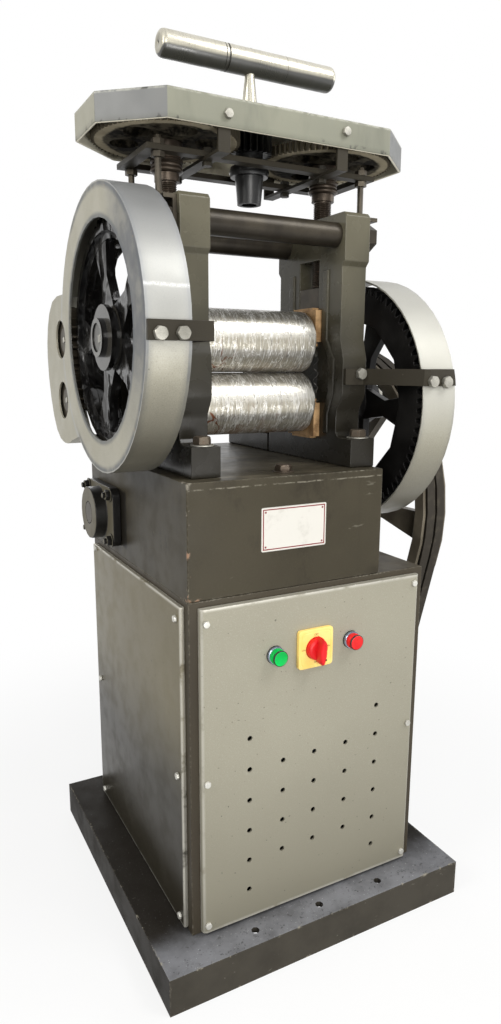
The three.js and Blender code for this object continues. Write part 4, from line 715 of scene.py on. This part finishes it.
base_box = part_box("base_plinth")
cabinet_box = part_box("cabinet_shell")
pedestal_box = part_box("pedestal_box")
FRAME_PAINT = enamel(
    "frame_enamel", "464135", "322e26", 0.3, pedestal_box, "8f8b7d", "4d4639", 0.25,
    extra=pedestal_marks, shine=0.09,
)
CABINET_PAINT = enamel(
    "cabinet_enamel", "474136", "352f27", 0.36, cabinet_box, "8e8a7d", "6d675a", 0.5
)
PLINTH_PAINT = enamel(
    "plinth_paint", "2a2723", "1d1b18", 0.5, base_box, "8a8579", "231f1b", 0.5, shine=0.07,
    extra=plinth_marks,
)
CASTING_PAINT = enamel(
    "casting_enamel", "656151", "464337", 0.22, None, "8d8775", "5d5647", 0.2,
    foot=(900.0, 1190.0, "1b1814"), shine=0.25, waves=0.004,
)
PANEL_PAINT = hammered(
    "front_panel_paint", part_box("front_panel"), "a09c8c", "8f8b7c", "b7b4a5", 0.4, 0.12, 0.18,
    (60.0, 420.0, "858172"),
)
SIDE_PAINT = hammered(
    "side_panel_paint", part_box("left_panel"), "7f7862", "6b6452", "8f8872", 0.28, 0.1, 0.1,
    (250.0, 480.0, "25221d"),
)
LEFT_GUARD_PAINT = guard_sheet(
    "left_guard_paint", LEFT_GUARD_AXIS, LEFT_GUARD_SIDES, GUARD_MOUTH, 1.0, "a6a7a6"
)
RIGHT_GUARD_PAINT = guard_sheet(
    "right_guard_paint", LOWER_AXIS, RIGHT_GUARD_SIDES, 0.0, 0.3, "c0bfb7"
)
COVER_PAINT = cover_sheet("cover_enamel")
WHEEL_PAINT = cast_black(
    "wheel_gloss", "191817", "0c0b0b", "56534c", 0.5, UPPER_AXIS, gloss=0.08, ripple=1.0,
    wave=0.02, pitch=18.0,
)
RIGHT_WHEEL_PAINT = cast_black("right_wheel_gloss", shine=0.2)
SLEEVE_PAINT = cast_black("sleeve_gloss", "151514", "0b0b0b", "8d8a82", 0.5)
BEARING_PAINT = cast_black("bearing_gloss", "1b1a18", "100f0e", "4a463e", 0.25, faced="6a6453")
PULLEY_PAINT = cast_black("pulley_enamel", "7d7566", "5f584c", "8b8678", 0.2)
DARK_STEEL = steel("dark_steel", "5a5347", "302c26", 0.36, 0.25, sheen=0.45)
ROD_STEEL = steel("rod_steel", "453f35", "231f1a", 0.3, 0.12, sheen=0.35)
BROWN_STEEL = steel("brown_steel", "665c4f", "383129", 0.42, 0.5, "624c3b", sheen=0.45)
LEFT_GEAR_STEEL = greased_gear("left_gear_steel", -SCREW_AXIS)
RIGHT_GEAR_STEEL = greased_gear("right_gear_steel", SCREW_AXIS)
SCREW_STEEL = steel("screw_steel", "5d5247", "2c2620", 0.32, 0.35, "6a4a36", (0.2, 0.2, 1.0), 0.5)
STRAP_PAINT = enamel("strap_paint", "39352c", "29251f", 0.4, None, "857e70", "5a5346", 0.3)
ZINC = steel("zinc_plate", "bab7ad", "6b6960", 0.34, 0.25, "6d685c", sheen=0.6)
NICKEL = bright_plate("nickel_plate")
CHROME = steel("bezel_chrome", "a5b0c2", "5e6a7a", 0.2, 0.0, sheen=0.9)
UPPER_FILM = crinkled_film("upper_film", UPPER_AXIS, 0.5)
LOWER_FILM = crinkled_film("lower_film", LOWER_AXIS, 1.0)
ROLL_STEEL = steel(
    "roll_steel", "b5b2a8", "85827a", 0.25, 0.2, grain=(1.0, 0.1, 0.1), ends=ROLL_LEFT_END
)
BRIGHT_ZINC = steel("screw_zinc", "e4e2da", "a3a198", 0.3, 0.1, "8d8878", sheen=0.4)
BRONZE = bronze("bearing_bronze")
SPRING_STEEL = steel("spring_wire", "6d6a66", "3c3a37", 0.35, 0.3, sheen=0.7)
BELT_RUBBER = rubber("belt_rubber")
MOTOR_PAINT = enamel("motor_enamel", "55636b", "414d54", 0.45)
YELLOW = moulded("switch_yellow", "ffe28c", "fcd676", 0.35, 0.2)
RED = moulded("switch_red", "ee2227", "cc161b", 0.3, 0.3)
RED_LENS = moulded("red_lens", "f2302c", "d02024", 0.24, 0.25)
GREEN_LENS = moulded("green_lens", "00cf5c", "00ad48", 0.24, 0.2)
BLACK_PLASTIC = moulded("black_plastic", "1b1a19", "121110", 0.35)
INK = moulded("switch_ink", "3c2412", "2c1a0a", 0.6, 0.1)
LABEL = plain_label("label_plate", 3.6, 7.5)


# Pieces

def body_of(node):
    """The body that a node of the solids rides on."""
    bodies = frame["record"]["behaviour"]["bodies"]
    return next(body for body, nodes in bodies.items() if node in nodes)


def linked(name, data):
    """A new object of a mesh, a text, a light or a camera, in the scene."""
    made = bpy.data.objects.new(name, data)
    bpy.context.scene.collection.objects.link(made)
    return made


def worked_out(holder):
    """The mesh that an object shows, with its letters or its modifiers worked out."""
    bpy.context.view_layer.update()
    ready = holder.evaluated_get(bpy.context.evaluated_depsgraph_get())
    return bpy.data.meshes.new_from_object(ready)


def shaded(name, mesh, material, sharp):
    """An object of a mesh: smooth faces, creases where the surface turns sharply, one finish."""
    mesh.polygons.foreach_set("use_smooth", np.ones(len(mesh.polygons), bool))
    mesh.set_sharp_from_angle(angle=math.radians(sharp))
    mesh.materials.append(material)
    return linked(name, mesh)


def piece(name, points, faces, material, node, sharp=28):
    """A mesh from rows of mill millimetres, which rides as a node of the solids does."""
    mesh = bpy.data.meshes.new(name)
    mesh.from_pydata(to_frame(points).tolist(), [], faces)
    made = shaded(name, mesh, material, sharp)
    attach(made, body_of(node))
    return made


# Two directions across each axis, so that a form drawn up its own Z can point along any axis
ACROSS = {
    "x": ((0, 1, 0), (0, 0, 1), (1, 0, 0)),
    "-x": ((0, 0, 1), (0, 1, 0), (-1, 0, 0)),
    "y": ((0, 0, 1), (1, 0, 0), (0, 1, 0)),
    "-y": ((1, 0, 0), (0, 0, 1), (0, -1, 0)),
    "z": ((1, 0, 0), (0, 1, 0), (0, 0, 1)),
}


def put(name, form, centre, way, material, node, spin=0.0, sharp=28):
    """A form, turned about its own axis, pointed along an axis and set on its place."""
    points, faces = form
    c, s = math.cos(spin), math.sin(spin)
    points = points @ np.array([[c, s, 0], [-s, c, 0], [0, 0, 1]])
    points = points @ np.array(ACROSS[way], float) + np.asarray(centre, float)
    return piece(name, points, faces, material, node, sharp)


def fastened(stem, form, places, way, material, node, turn):
    """The same bolt, nut or screw at each place, every one turned a little further."""
    for number, place in enumerate(places, 1):
        put(f"{stem}_{number}", form, place, way, material, node, turn * number)


def grid_faces(rows, columns, closed=False):
    """Quads of a grid whose columns close on themselves. Its ends get a face each, or its rows
    close on themselves too."""
    count = rows if closed else rows - 1
    r, c = np.meshgrid(np.arange(count), np.arange(columns), indexing="ij")
    a = r * columns + c
    b = r * columns + (c + 1) % columns
    above = ((r + 1) % rows) * columns
    quads = np.stack([a, b, above + (c + 1) % columns, above + c], -1).reshape(-1, 4).tolist()
    if closed:
        return quads
    low = list(range(columns))[::-1]
    high = [(rows - 1) * columns + k for k in range(columns)]
    return quads + [low, high]


def turned(profile, steps, shape=None, closed=False):
    """A grid of angle and profile place: radius times (cos, sin), at the profile's height.
    shape, if given, turns the radii, angles and heights into other radii."""
    profile = np.asarray(profile, float)
    angle = np.arange(steps) * 2 * math.pi / steps
    radius = np.repeat(profile[:, :1], steps, axis=1)
    height = np.repeat(profile[:, 1:2], steps, axis=1)
    if shape is not None:
        radius = shape(radius, angle[None, :], height)
    points = np.stack([radius * np.cos(angle), radius * np.sin(angle), height], -1)
    return points.reshape(-1, 3), grid_faces(len(profile), steps, closed)


def merged(parts):
    """Several point and face lists as one."""
    points, faces, start = [], [], 0
    for some_points, some_faces in parts:
        points.append(some_points)
        faces += [[index + start for index in face] for face in some_faces]
        start += len(some_points)
    return np.concatenate(points), faces


def hexagon(across):
    """Radii are cut to a hexagon: the smaller of the radius and the flat's distance there."""

    def cut(radius, angle, height):
        sixth = math.pi / 3
        off = (angle + sixth / 2) % sixth - sixth / 2
        return np.minimum(radius, across / 2 / np.cos(off))

    return cut


def oblong(wide, tall, power, lower_power=None):
    """Radii of a rounded oblong: (|cos| / wide)^power + (|sin| / tall)^power, to the power
    -1 / power, times the profile's radius as a share. A power near 1 gives pointed ends, and
    lower_power, if given, holds where the sine isn't above 0."""

    def cut(share, angle, height):
        powers = np.where(np.sin(angle) > 0, power, lower_power or power)
        total = (np.abs(np.cos(angle)) / wide) ** powers + (np.abs(np.sin(angle)) / tall) ** powers
        return share * total ** (-1 / powers)

    return cut


def round_to_square(inner, outer):
    """Radii that are round up to one size and square with rounded corners from another on: the
    radius times a mix of 1 and the oblong's radius at that angle."""
    square = oblong(1.0, 1.0, 14.0)

    def cut(radius, angle, height):
        share = np.clip((radius - inner) / (outer - inner), 0, 1)
        return radius * (1 - share + share * square(np.ones_like(radius), angle, height))

    return cut


def hex_bolt(across, height, washer=True, stub=0.0):
    """A chamfered hexagon head on a washer: a turned cone and drum cut by six flats."""
    reach = across / math.sqrt(3)
    parts = []
    start = 0.0
    if washer:
        rim = across * 0.62 + 2.2
        ring = [(0.05, 0), (rim - 0.3, 0), (rim, 0.3), (rim, 1.5), (rim - 0.4, 1.9), (0.05, 1.9)]
        parts.append(turned(ring, 40))
        start = 1.9
    top = start + height
    head = [
        (0.05, start),
        (reach - 1.2, start),
        (reach, start + 0.8),
        (reach, top - 0.22 * across),
        (reach * 0.93, top - 0.06 * across),
        (reach * 0.84, top),
        (reach * 0.6, top + 0.1),
        (0.05, top + 0.15),
    ]
    parts.append(turned(head, 48, hexagon(across)))
    if stub:
        pin = across * 0.3
        shape = [(0.05, top), (pin, top), (pin, top + stub - 0.8), (pin - 0.8, top + stub)]
        parts.append(turned(shape + [(0.05, top + stub)], 24))
    return merged(parts)


def threaded(radius, low, high, depth, lead, starts):
    """Radii on a screw: less a rounded wave of the height's share of the pitch minus the
    angle's share of a turn for each start, between two heights."""

    def cut(radii, angle, height):
        wave = height / (lead / starts) - starts * angle / (2 * math.pi)
        groove = depth * (0.5 - 0.5 * np.cos(2 * math.pi * wave)) ** 0.8
        fade = np.clip((height - low) / 2, 0, 1) * np.clip((high - height) / 2, 0, 1)
        return radii - groove * fade * (np.abs(radii - radius) < 0.01)

    return cut


def wrapped(radius, half_length, relief, seed):
    """A drawn film: a tube whose radius is its own, plus ridges from ten slanted waves, each
    folded at zero, and whose hems wander a little along the roll."""
    steps, rows = 192, 132
    rng = np.random.default_rng(seed)
    angle = np.arange(steps) * 2 * math.pi / steps
    share = np.linspace(-1, 1, rows)[:, None]
    ridges = np.zeros((rows, steps))
    for _ in range(10):
        turns = rng.integers(1, 9)
        along = rng.uniform(8, 46)
        phase = rng.uniform(0, 2 * math.pi, 2)
        wave = np.sin(turns * angle + along * share + phase[0] + 0.8 * np.sin(3 * angle + phase[1]))
        ridges += np.clip(1 - np.abs(wave) * 5, 0, 1)
    skin = radius + relief * np.clip(ridges / 2.2, 0, 1)
    hem = 0.9 * np.sin(5 * angle) + 0.6 * np.sin(11 * angle + 1.0)
    length = half_length * share + hem * np.abs(share) ** 8 * np.sign(share)
    outside = np.stack([skin * np.cos(angle), skin * np.sin(angle), length * np.ones(steps)], -1)
    inside = outside[::-1].copy()
    scale = (radius - 0.6) / skin[::-1]
    inside[..., 0] *= scale
    inside[..., 1] *= scale
    points = np.concatenate([outside, inside])
    return points.reshape(-1, 3), grid_faces(2 * rows, steps, True)


def lettering(name, words, size, centre, material, node):
    """Small raised letters on a front face: text made a mesh, then set upright on its place."""
    curve = bpy.data.curves.new(name, "FONT")
    curve.body = words
    curve.size = size / 1000
    curve.align_x = "CENTER"
    curve.align_y = "CENTER"
    curve.extrude = 0.00006
    curve.resolution_u = 3
    holder = linked(name, curve)
    flat = worked_out(holder)
    flat.transform(Matrix.Translation(to_frame(centre)) @ Matrix.Rotation(math.pi / 2, 4, "X"))
    bpy.data.objects.remove(holder)
    bpy.data.curves.remove(curve)
    flat.materials.clear()
    made = shaded(name, flat, material, 30)
    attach(made, body_of(node))
    return made


# Solids crease where faces meet at more than this many degrees
SOLID_CREASE = 32


def welded(source):
    """Loose triangles as one surface: points that agree to a micrometre become the same point."""
    count = len(source.vertices)
    places = np.empty(count * 3)
    source.vertices.foreach_get("co", places)
    corners = np.empty(len(source.loops), int)
    source.loops.foreach_get("vertex_index", corners)
    key = np.round(places.reshape(-1, 3) * 1e6).astype(np.int64)
    _, first, owner = np.unique(key, axis=0, return_index=True, return_inverse=True)
    faces = owner.reshape(-1)[corners].reshape(-1, 3)
    whole = np.all(faces != np.roll(faces, 1, axis=1), axis=1)
    return places.reshape(-1, 3)[first], faces[whole]


def dressed(node, material, round_over=0.0, steps=2):
    """A copy of a solid with its doubles merged and flat faces joined, its edges rounded."""
    places, faces = welded(frame["nodes"][node].data)
    mesh = bpy.data.meshes.new(f"{node}_finish")
    mesh.from_pydata(places.tolist(), [], faces.tolist())
    work = bmesh.new()
    work.from_mesh(mesh)
    angle = math.radians(0.4)
    bmesh.ops.dissolve_limit(work, angle_limit=angle, verts=work.verts, edges=work.edges)
    work.to_mesh(mesh)
    work.free()
    made = shaded(f"{node}_finish", mesh, material, SOLID_CREASE)
    if round_over > 0:
        bevel = made.modifiers.new("rounded_edges", "BEVEL")
        bevel.width = round_over / 1000
        bevel.segments = steps
        bevel.limit_method = "ANGLE"
        bevel.angle_limit = math.radians(SOLID_CREASE)
        bevel.harden_normals = True
        bevel.use_clamp_overlap = True
    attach(made, body_of(node))
    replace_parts(made, node)
    return made


def drilled(made, pins):
    """Round holes through a piece: a set of turned pins is taken away from it."""
    points, faces = pins
    mesh = bpy.data.meshes.new("drill")
    mesh.from_pydata(to_frame(points).tolist(), [], faces)
    drill = linked("drill", mesh)
    hole = made.modifiers.new("holes", "BOOLEAN")
    hole.operation = "DIFFERENCE"
    hole.solver = "EXACT"
    hole.object = drill
    cut = worked_out(made)
    made.modifiers.clear()
    made.data = cut
    bpy.data.objects.remove(drill)
    return made


# Stand
dressed("base_plinth", PLINTH_PAINT)
dressed("cabinet_shell", CABINET_PAINT, 1.5)
dressed("left_panel", SIDE_PAINT, 4.0, 4)
dressed("pedestal_box", FRAME_PAINT, 2.0)
for name in (
    "left_housing", "right_housing", "left_rear_stand", "right_rear_stand", "idler_carrier",
):
    dressed(name, CASTING_PAINT, 2.5, 3)
for name in ("front_tie_rod", "rear_tie_rod"):
    dressed(name, ROD_STEEL, 0.6)
for name in ("left_flange_bearing", "right_flange_bearing"):
    dressed(name, BEARING_PAINT, 2.0)

# The front panel's round vents: five columns, of which the inner three lack the lowest row and
# the highest
pin, pin_faces = turned([(0.05, -14), (VENT_RADIUS, -14), (VENT_RADIUS, 4), (0.05, 4)], 20)
pin = pin @ np.array(ACROSS["-y"], float)
vents = []
for column, x in enumerate(VENT_COLUMNS):
    for level, z in enumerate(VENT_ROWS):
        if column in (0, 4) or 0 < level < 5:
            vents.append((pin + np.array([x, PANEL_FACE, z]), pin_faces))
drilled(dressed("front_panel", PANEL_PAINT, 4.0, 4), merged(vents))

# Guards, straps and wheels
dressed("left_guard", LEFT_GUARD_PAINT, 1.0)
dressed("right_guard", RIGHT_GUARD_PAINT, 1.0)
for name in ("left_guard_strap", "right_guard_strap", "left_cover_strap", "right_cover_strap"):
    dressed(name, STRAP_PAINT, 0.7)
dressed("left_bull_gear", WHEEL_PAINT, 1.6, 2)
dressed("right_bull_gear", RIGHT_WHEEL_PAINT, 1.6, 2)
for name in ("cross_shaft", "idler_shaft", "countershaft", "reduction_gear"):
    dressed(name, DARK_STEEL, 0.4, 1)
dressed("v_pulley", PULLEY_PAINT, 1.2)
dressed("motor_pulley", PULLEY_PAINT, 0.6)
dressed("motor", MOTOR_PAINT, 0.6)
for name in ("inner_belt", "outer_belt"):
    dressed(name, BELT_RUBBER, 0.8)

# Screw gearing, frame and cover
dressed("left_screw_gear", LEFT_GEAR_STEEL, 0.4, 1)
dressed("right_screw_gear", RIGHT_GEAR_STEEL, 0.4, 1)
dressed("drive_pinion", SLEEVE_PAINT, 0.5, 1)
dressed("support_frame", STRAP_PAINT, 0.8)
for name in ("left_front_stud", "left_rear_stud", "right_front_stud", "right_rear_stud"):
    dressed(name, DARK_STEEL, 0.5)
dressed("gear_cover", COVER_PAINT, 3.2, 3)
dressed("spindle", NICKEL, 0.5)

# The two screws: a tip, a two-start thread, a collar and a stack of rings
levels = np.arange(1099.0, 1235.01, 0.5)
screw = [(0.05, 1095.1), (12, 1095.1), (15, 1098.0)]
screw += [(15.0, level) for level in levels]
screw += [(15, 1236), (18.6, 1236), (19, 1236.4), (19, 1247.6), (18.6, 1248)]
screw += [(22, 1248.2), (24.4, 1250.4), (24.9, 1252.2), (24.4, 1254.2), (23, 1255.4)]
screw += [(22.6, 1256.8), (23.4, 1258.2), (23.4, 1260.2), (22.6, 1261.4), (23.6, 1262.4)]
screw += [(24.9, 1263.8), (24.9, 1266.2), (23.6, 1267.6), (21.9, 1268.8), (21.9, 1271.2)]
screw += [(23.4, 1272.2)]
screw += [(24, 1273.2), (24, 1290.7), (12.5, 1290.7), (12.5, 1305.2), (11.8, 1306), (0.05, 1306)]
screw_thread = threaded(15.0, 1099.0, 1235.0, 1.2, 6.0, 2)
for side, x in (("left", -SCREW_AXIS), ("right", SCREW_AXIS)):
    form = turned(screw, 60, screw_thread)
    node = f"{side}_screw"
    made = put(f"{side}_threaded_screw", form, (x, 0, 0), "z", SCREW_STEEL, node, sharp=40)
    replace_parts(made, node)

# The handle: a bar with rounded ends, a centre hole in its left end, two grooves and a scribed
# line
bar = [(0.05, -147.6), (1.7, -147.6), (1.9, -150.4), (2.5, -150.9), (11.5, -151), (14.6, -150.5)]
bar += [(17.0, -149.0), (18.6, -146.6), (19.25, -143.2), (19.25, -48.3), (18.9, -48.0)]
bar += [(18.9, -47.3), (19.25, -47.0), (19.25, -43.6), (18.1, -43.0), (18.1, -41.2)]
bar += [(19.25, -40.6), (19.25, 58.6), (18.95, 58.9), (18.95, 59.3), (19.25, 59.6)]
bar += [(19.25, 143.2), (18.6, 146.6), (17.0, 149.0), (14.6, 150.5), (11.5, 151), (0.05, 151)]
handle = put("handle_grip", turned(bar, 72), (0, 0, HANDLE_Z), "x", NICKEL, "handle_bar", sharp=40)
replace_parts(handle, "handle_bar")
peg = [(0.05, 0), (6.2, 0), (6.2, 4.0), (5.6, 4.8), (4.0, 5.1), (0.05, 5.2)]
put("handle_peg", turned(peg, 32), (0, 0, HANDLE_Z + 14.0), "z", DARK_STEEL, "handle_bar")

# Bearings and rolls
for name in ("left_lower_chock", "left_upper_chock", "right_lower_chock", "right_upper_chock"):
    dressed(name, BRONZE, 0.8)
for name in ("left_pressure_block", "right_pressure_block"):
    dressed(name, DARK_STEEL, 0.8)
for name, axis_z, finish, seed in (
    ("upper_roll", UPPER_AXIS, UPPER_FILM, 5),
    ("lower_roll", LOWER_AXIS, LOWER_FILM, 11),
):
    dressed(name, ROLL_STEEL, 0.6)
    skin = wrapped(ROLL_RADIUS + 0.01, FILM_HALF_LENGTH, 0.08, seed)
    put(f"{name}_film", skin, (0, 0, axis_z), "x", finish, name, sharp=60)
# The balance springs stretch with the upper roll, so their own solids stay and take a finish
for name in ("left_front_spring", "left_rear_spring", "right_front_spring", "right_rear_spring"):
    frame["nodes"][name].data.materials.clear()
    frame["nodes"][name].data.materials.append(SPRING_STEEL)

# Switch: a square plate with a raised middle, a disc and a pointed lever
plate = [(18.9, 0), (18.9, 6.4), (19.6, 7.0), (26.5, 7.0), (27.0, 6.5), (27.6, 6.5), (28.2, 7.0)]
plate += [(31.4, 7.0), (32.3, 6.5), (32.5, 5.4), (32.5, 0.4), (32.0, 0)]
form = turned(plate, 96, round_to_square(20.0, 26.0), closed=True)
spot = (SWITCH_X, PANEL_FACE - SURFACE_GAP, SWITCH_Z)
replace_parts(put("switch_surround", form, spot, "-y", YELLOW, "switch_plate"), "switch_plate")
disc = [(0.05, -6), (9, -6), (9, 0), (17.6, 0.3), (18.3, 1.2), (18.2, 8.0), (17.4, 10.8)]
disc += [(15.6, 12.0), (12, 12.3), (0.05, 12.3)]
lever = [(0.02, 9), (1.0, 9), (1.0, 20), (0.98, 24.0), (0.9, 26.6), (0.72, 27.9), (0.02, 28.1)]
form = merged([turned(disc, 64), turned(lever, 72, oblong(6.4, 23.0, 1.15, 1.7))])
spot = (SWITCH_X, PANEL_FACE - KNOB_STAND, SWITCH_Z)
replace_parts(put("switch_lever", form, spot, "-y", RED, "switch_knob", sharp=35), "switch_knob")
dot = turned([(0.05, 0), (1.5, 0), (1.4, 0.5), (0.05, 0.5)], 16)
spot = (SWITCH_X + 3.4, PANEL_FACE - KNOB_STAND - 27.8, SWITCH_Z - 12)
put("lever_dot", dot, spot, "-y", INK, "switch_knob")
for words, side, x, z in (
    ("OFF", "top", 0, WORD_OUT),
    ("ON", "right", WORD_OUT - 0.2, 0),
    ("OFF", "foot", 0, -WORD_OUT),
    ("ON", "left", 0.2 - WORD_OUT, 0),
):
    spot = (SWITCH_X + x, PANEL_FACE - SURFACE_GAP - 7.0, SWITCH_Z + z)
    lettering(f"switch_word_{words.lower()}_{side}", words, 4.6, spot, INK, "switch_plate")

# Lamps: a black seal, a plated bezel, a stepped lens, and the barrel and nut behind the panel
seal = [(0.05, 0), (14.9, 0), (15.0, 0.4), (14.8, 1.3), (0.05, 1.4)]
bezel = [(12.2, 1.3), (14.3, 1.4), (14.6, 1.8), (14.6, 5.2), (14.0, 6.2), (13.1, 6.5), (12.2, 6.4)]
lens = [(0.05, 4), (12.4, 4), (12.9, 6.6), (12.9, 12.6), (12.3, 13.6), (11.3, 13.9), (11.2, 14.4)]
lens += [(11.9, 15.0), (12.1, 18.4), (11.6, 19.4), (10.9, 19.8), (10.2, 19.6), (0.05, 19.7)]
edge = [(12.0, 16.6), (12.5, 16.4), (12.8, 17.2), (12.8, 18.6), (12.3, 19.2), (11.7, 19.4)]
barrel = [(0.05, -24), (11, -24), (11, -9), (14, -8.6), (14.2, -3), (13.6, -2.6), (11, -2.4)]
barrel += [(0.05, -2.4)]
for name, x, finish in (
    ("green_lamp", GREEN_LAMP_X, GREEN_LENS),
    ("red_lamp", RED_LAMP_X, RED_LENS),
):
    spot = (x, PANEL_FACE - LAMP_GAP, SWITCH_Z)
    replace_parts(put(f"{name}_lens", turned(lens, 48), spot, "-y", finish, name, sharp=35), name)
    put(f"{name}_seal", turned(seal, 48), spot, "-y", BLACK_PLASTIC, name)
    put(f"{name}_edge", turned(edge, 48, closed=True), spot, "-y", BLACK_PLASTIC, name)
    put(f"{name}_bezel", turned(bezel, 48, closed=True), spot, "-y", CHROME, name)
    put(f"{name}_barrel", turned(barrel, 32), spot, "-y", BLACK_PLASTIC, name)

# The bare label plate on the pedestal
sheet = [(0.02, 0), (1.0, 0), (1.0, 0.5), (0.994, 0.8), (0.02, 0.8)]
form = turned(sheet, 160, oblong(*LABEL_HALF, 48.0))
spot = (LABEL_CENTRE[0], PEDESTAL_FACE, LABEL_CENTRE[1])
put("label_plate", form, spot, "-y", LABEL, "pedestal_box")

# Bolts, nuts and screws
strap_bolt = hex_bolt(17, 8, False)
places = [(-241, -216.3, 1004.5), (-210, -216.3, 1005.5)]
fastened("left_strap_bolt", strap_bolt, places, "-y", ZINC, "left_guard_strap", 0.3)
places = [(212.5, -212.6, 942), (241, -212.6, 941), (148, -112.0, 953)]
fastened("right_strap_bolt", strap_bolt, places, "-y", ZINC, "right_guard_strap", 0.4)

cover_bolt = hex_bolt(12, 6, False)
for stem, y, way, turn in (
    ("cover_bolt_front", -COVER_HALF_DEPTH, "-y", 0.5),
    ("cover_bolt_rear", COVER_HALF_DEPTH, "y", 0.2),
):
    places = [(-96.8, y, 1305.5), (101.5, y, 1311)]
    fastened(stem, cover_bolt, places, way, ZINC, "gear_cover", turn)

foot_bolt = hex_bolt(24, 12, False)
washer = turned([(0.05, 0), (17.6, 0), (18, 0.4), (18, 1.7), (17.4, 2.1), (0.05, 2.1)], 40)
corners = [(-141, -120), (141, -120), (-141, 120), (141, 120)]
places = [(x, y, HOUSING_FOOT + 2) for x, y in corners]
fastened("housing_bolt", foot_bolt, places, "z", BROWN_STEEL, "left_housing", 0.35)
places = [(x, y, HOUSING_FOOT) for x, y in corners]
fastened("housing_washer", washer, places, "z", ZINC, "left_housing", 0.0)
form = hex_bolt(24, 10, True)
put("deck_bolt", form, (-2, -122, DECK), "z", SCREW_STEEL, "pedestal_box", 0.2)

panel_screw = hex_bolt(10.0, 4.4, False)
places = [(-162, 593), (-162, 334), (-162, 84), (230, 601), (230, 342), (230, 84)]
places = [(x, PANEL_FACE, z) for x, z in places]
fastened("front_panel_screw", panel_screw, places, "-y", BRIGHT_ZINC, "front_panel", 0.5)
places = [(276, 610), (276, 335), (276, 84), (-133, 594), (-133, 335), (-133, 84)]
places = [(SIDE_FACE, y, z) for y, z in places]
fastened("left_panel_screw", panel_screw, places, "-x", BRIGHT_ZINC, "left_panel", 0.4)

flange_nut = hex_bolt(17, 8, True, 5)
places = [(FLANGE_FACE, y, z) for y, z in ((149, 654), (281, 654), (149, 738), (281, 738))]
fastened("bearing_nut", flange_nut, places, "-x", BEARING_PAINT, "left_flange_bearing", 0.3)

# Keys in the shaft ends
key = [(0.02, 0), (1.0, 0), (1.0, 1.7), (0.94, 2.1), (0.02, 2.1)]
form = turned(key, 48, oblong(5.6, 5.6, 10.0))
spot = (HUB_FACE, -13.0, UPPER_AXIS - 2.0)
put("left_wheel_key", form, spot, "-x", ZINC, "left_bull_gear", 0.1)
form = turned(key, 48, oblong(4.5, 4.5, 10.0))
for stem, z in (("idler", IDLER_AXIS), ("cross", LOWER_AXIS)):
    spot = (SHAFT_END, CROSS_Y - 6.0, z)
    put(f"{stem}_key", form, spot, "-x", ZINC, f"{stem}_shaft", 0.2)


# Camera, light and floor
world = bpy.data.worlds.new("studio")
bpy.context.scene.world = world
sky = Nodes(world)
seen = sky.node("ShaderNodeBackground", {}, {0: (1, 1, 1, 1), 1: 1.0})
fill = sky.node("ShaderNodeBackground", {}, {0: (0.97, 0.98, 1.0, 1), 1: 0.34})
both = sky.node("ShaderNodeMixShader", {}, {0: sky.shown_ray(), 1: fill, 2: seen})
sky.node("ShaderNodeOutputWorld", {}, {0: both})


def soft_box(name, place, aim, width, height, power, tint=(1, 1, 1)):
    """A rectangular lamp at a place in metres, aimed at a point."""
    light = bpy.data.lights.new(name, "AREA")
    light.shape = "RECTANGLE"
    light.size = width
    light.size_y = height
    light.energy = power
    light.color = tint
    lamp = linked(name, light)
    lamp.location = place
    way = Vector(aim) - Vector(place)
    lamp.rotation_euler = way.to_track_quat("-Z", "Y").to_euler()


soft_box("front_box", (-0.8, -2.7, 1.6), (0, 0, 0.8), 1.1, 1.1, 31, (1, 0.985, 0.95))
soft_box("low_box", (0.1, -2.1, 0.35), (0, 0, 1.3), 0.7, 0.4, 12)
soft_box("high_box", (0.9, -1.5, 2.6), (0, 0, 1.0), 0.9, 0.9, 26)
soft_box("left_box", (-1.75, -0.5, 1.75), (-0.2, 0, 1.0), 0.8, 0.8, 19, (1, 0.985, 0.95))
soft_box("right_box", (2.2, -0.8, 1.6), (0, 0, 0.8), 0.9, 1.3, 12)
soft_box("back_box", (0.5, 2.6, 1.8), (0, 0, 0.8), 1.2, 1.4, 16)

floor_mesh = bpy.data.meshes.new("floor")
half = 9.0  # metres
corners = [(-half, -half, 0), (half, -half, 0), (half, half, 0), (-half, half, 0)]
floor_mesh.from_pydata(corners, [], [(0, 1, 2, 3)])
floor = linked("floor", floor_mesh)
pale = Finish("pale_floor", "eeeeec")
pale.paint(pale.noise(3.0, 3.0).ramp(0.2, 0.8), "f4f4f2")
lit = pale.node("ShaderNodeBsdfDiffuse", {}, {0: pale.colour})
bounce = pale.node("ShaderNodeBsdfDiffuse", {}, {0: linear("a9a9a7")})
glow = pale.node("ShaderNodeEmission", {}, {0: (1, 1, 1, 1), 1: 1.0})
away = (pale.axis(0) * pale.axis(0) + pale.axis(1) * pale.axis(1)).root()
white = 0.8 + 0.2 * away.ramp(0.45, 1.3)
both = pale.node("ShaderNodeMixShader", {}, {0: white, 1: lit, 2: glow})
last = pale.node("ShaderNodeMixShader", {}, {0: pale.shown_ray(), 1: bounce, 2: both})
pale.node("ShaderNodeOutputMaterial", {}, {0: last})
floor_mesh.materials.append(pale.material)

# The camera stands where the photograph was taken from, found from the mill's own straight edges
camera_data = bpy.data.cameras.new("camera")
camera_data.sensor_width = 36.0
camera_data.lens = 25.378
camera = linked("camera", camera_data)
bpy.context.scene.camera = camera
yaw, pitch, roll = math.radians(28.222), math.radians(11.386), math.radians(0.258)
camera.location = to_frame([-580.27, -1090.81, 963.89])
aim = Matrix.Rotation(-yaw, 3, "Z") @ Matrix.Rotation(math.pi / 2 - pitch, 3, "X")
camera.rotation_euler = (aim @ Matrix.Rotation(roll, 3, "Z")).to_euler()

bpy.context.scene.view_settings.view_transform = "Standard"
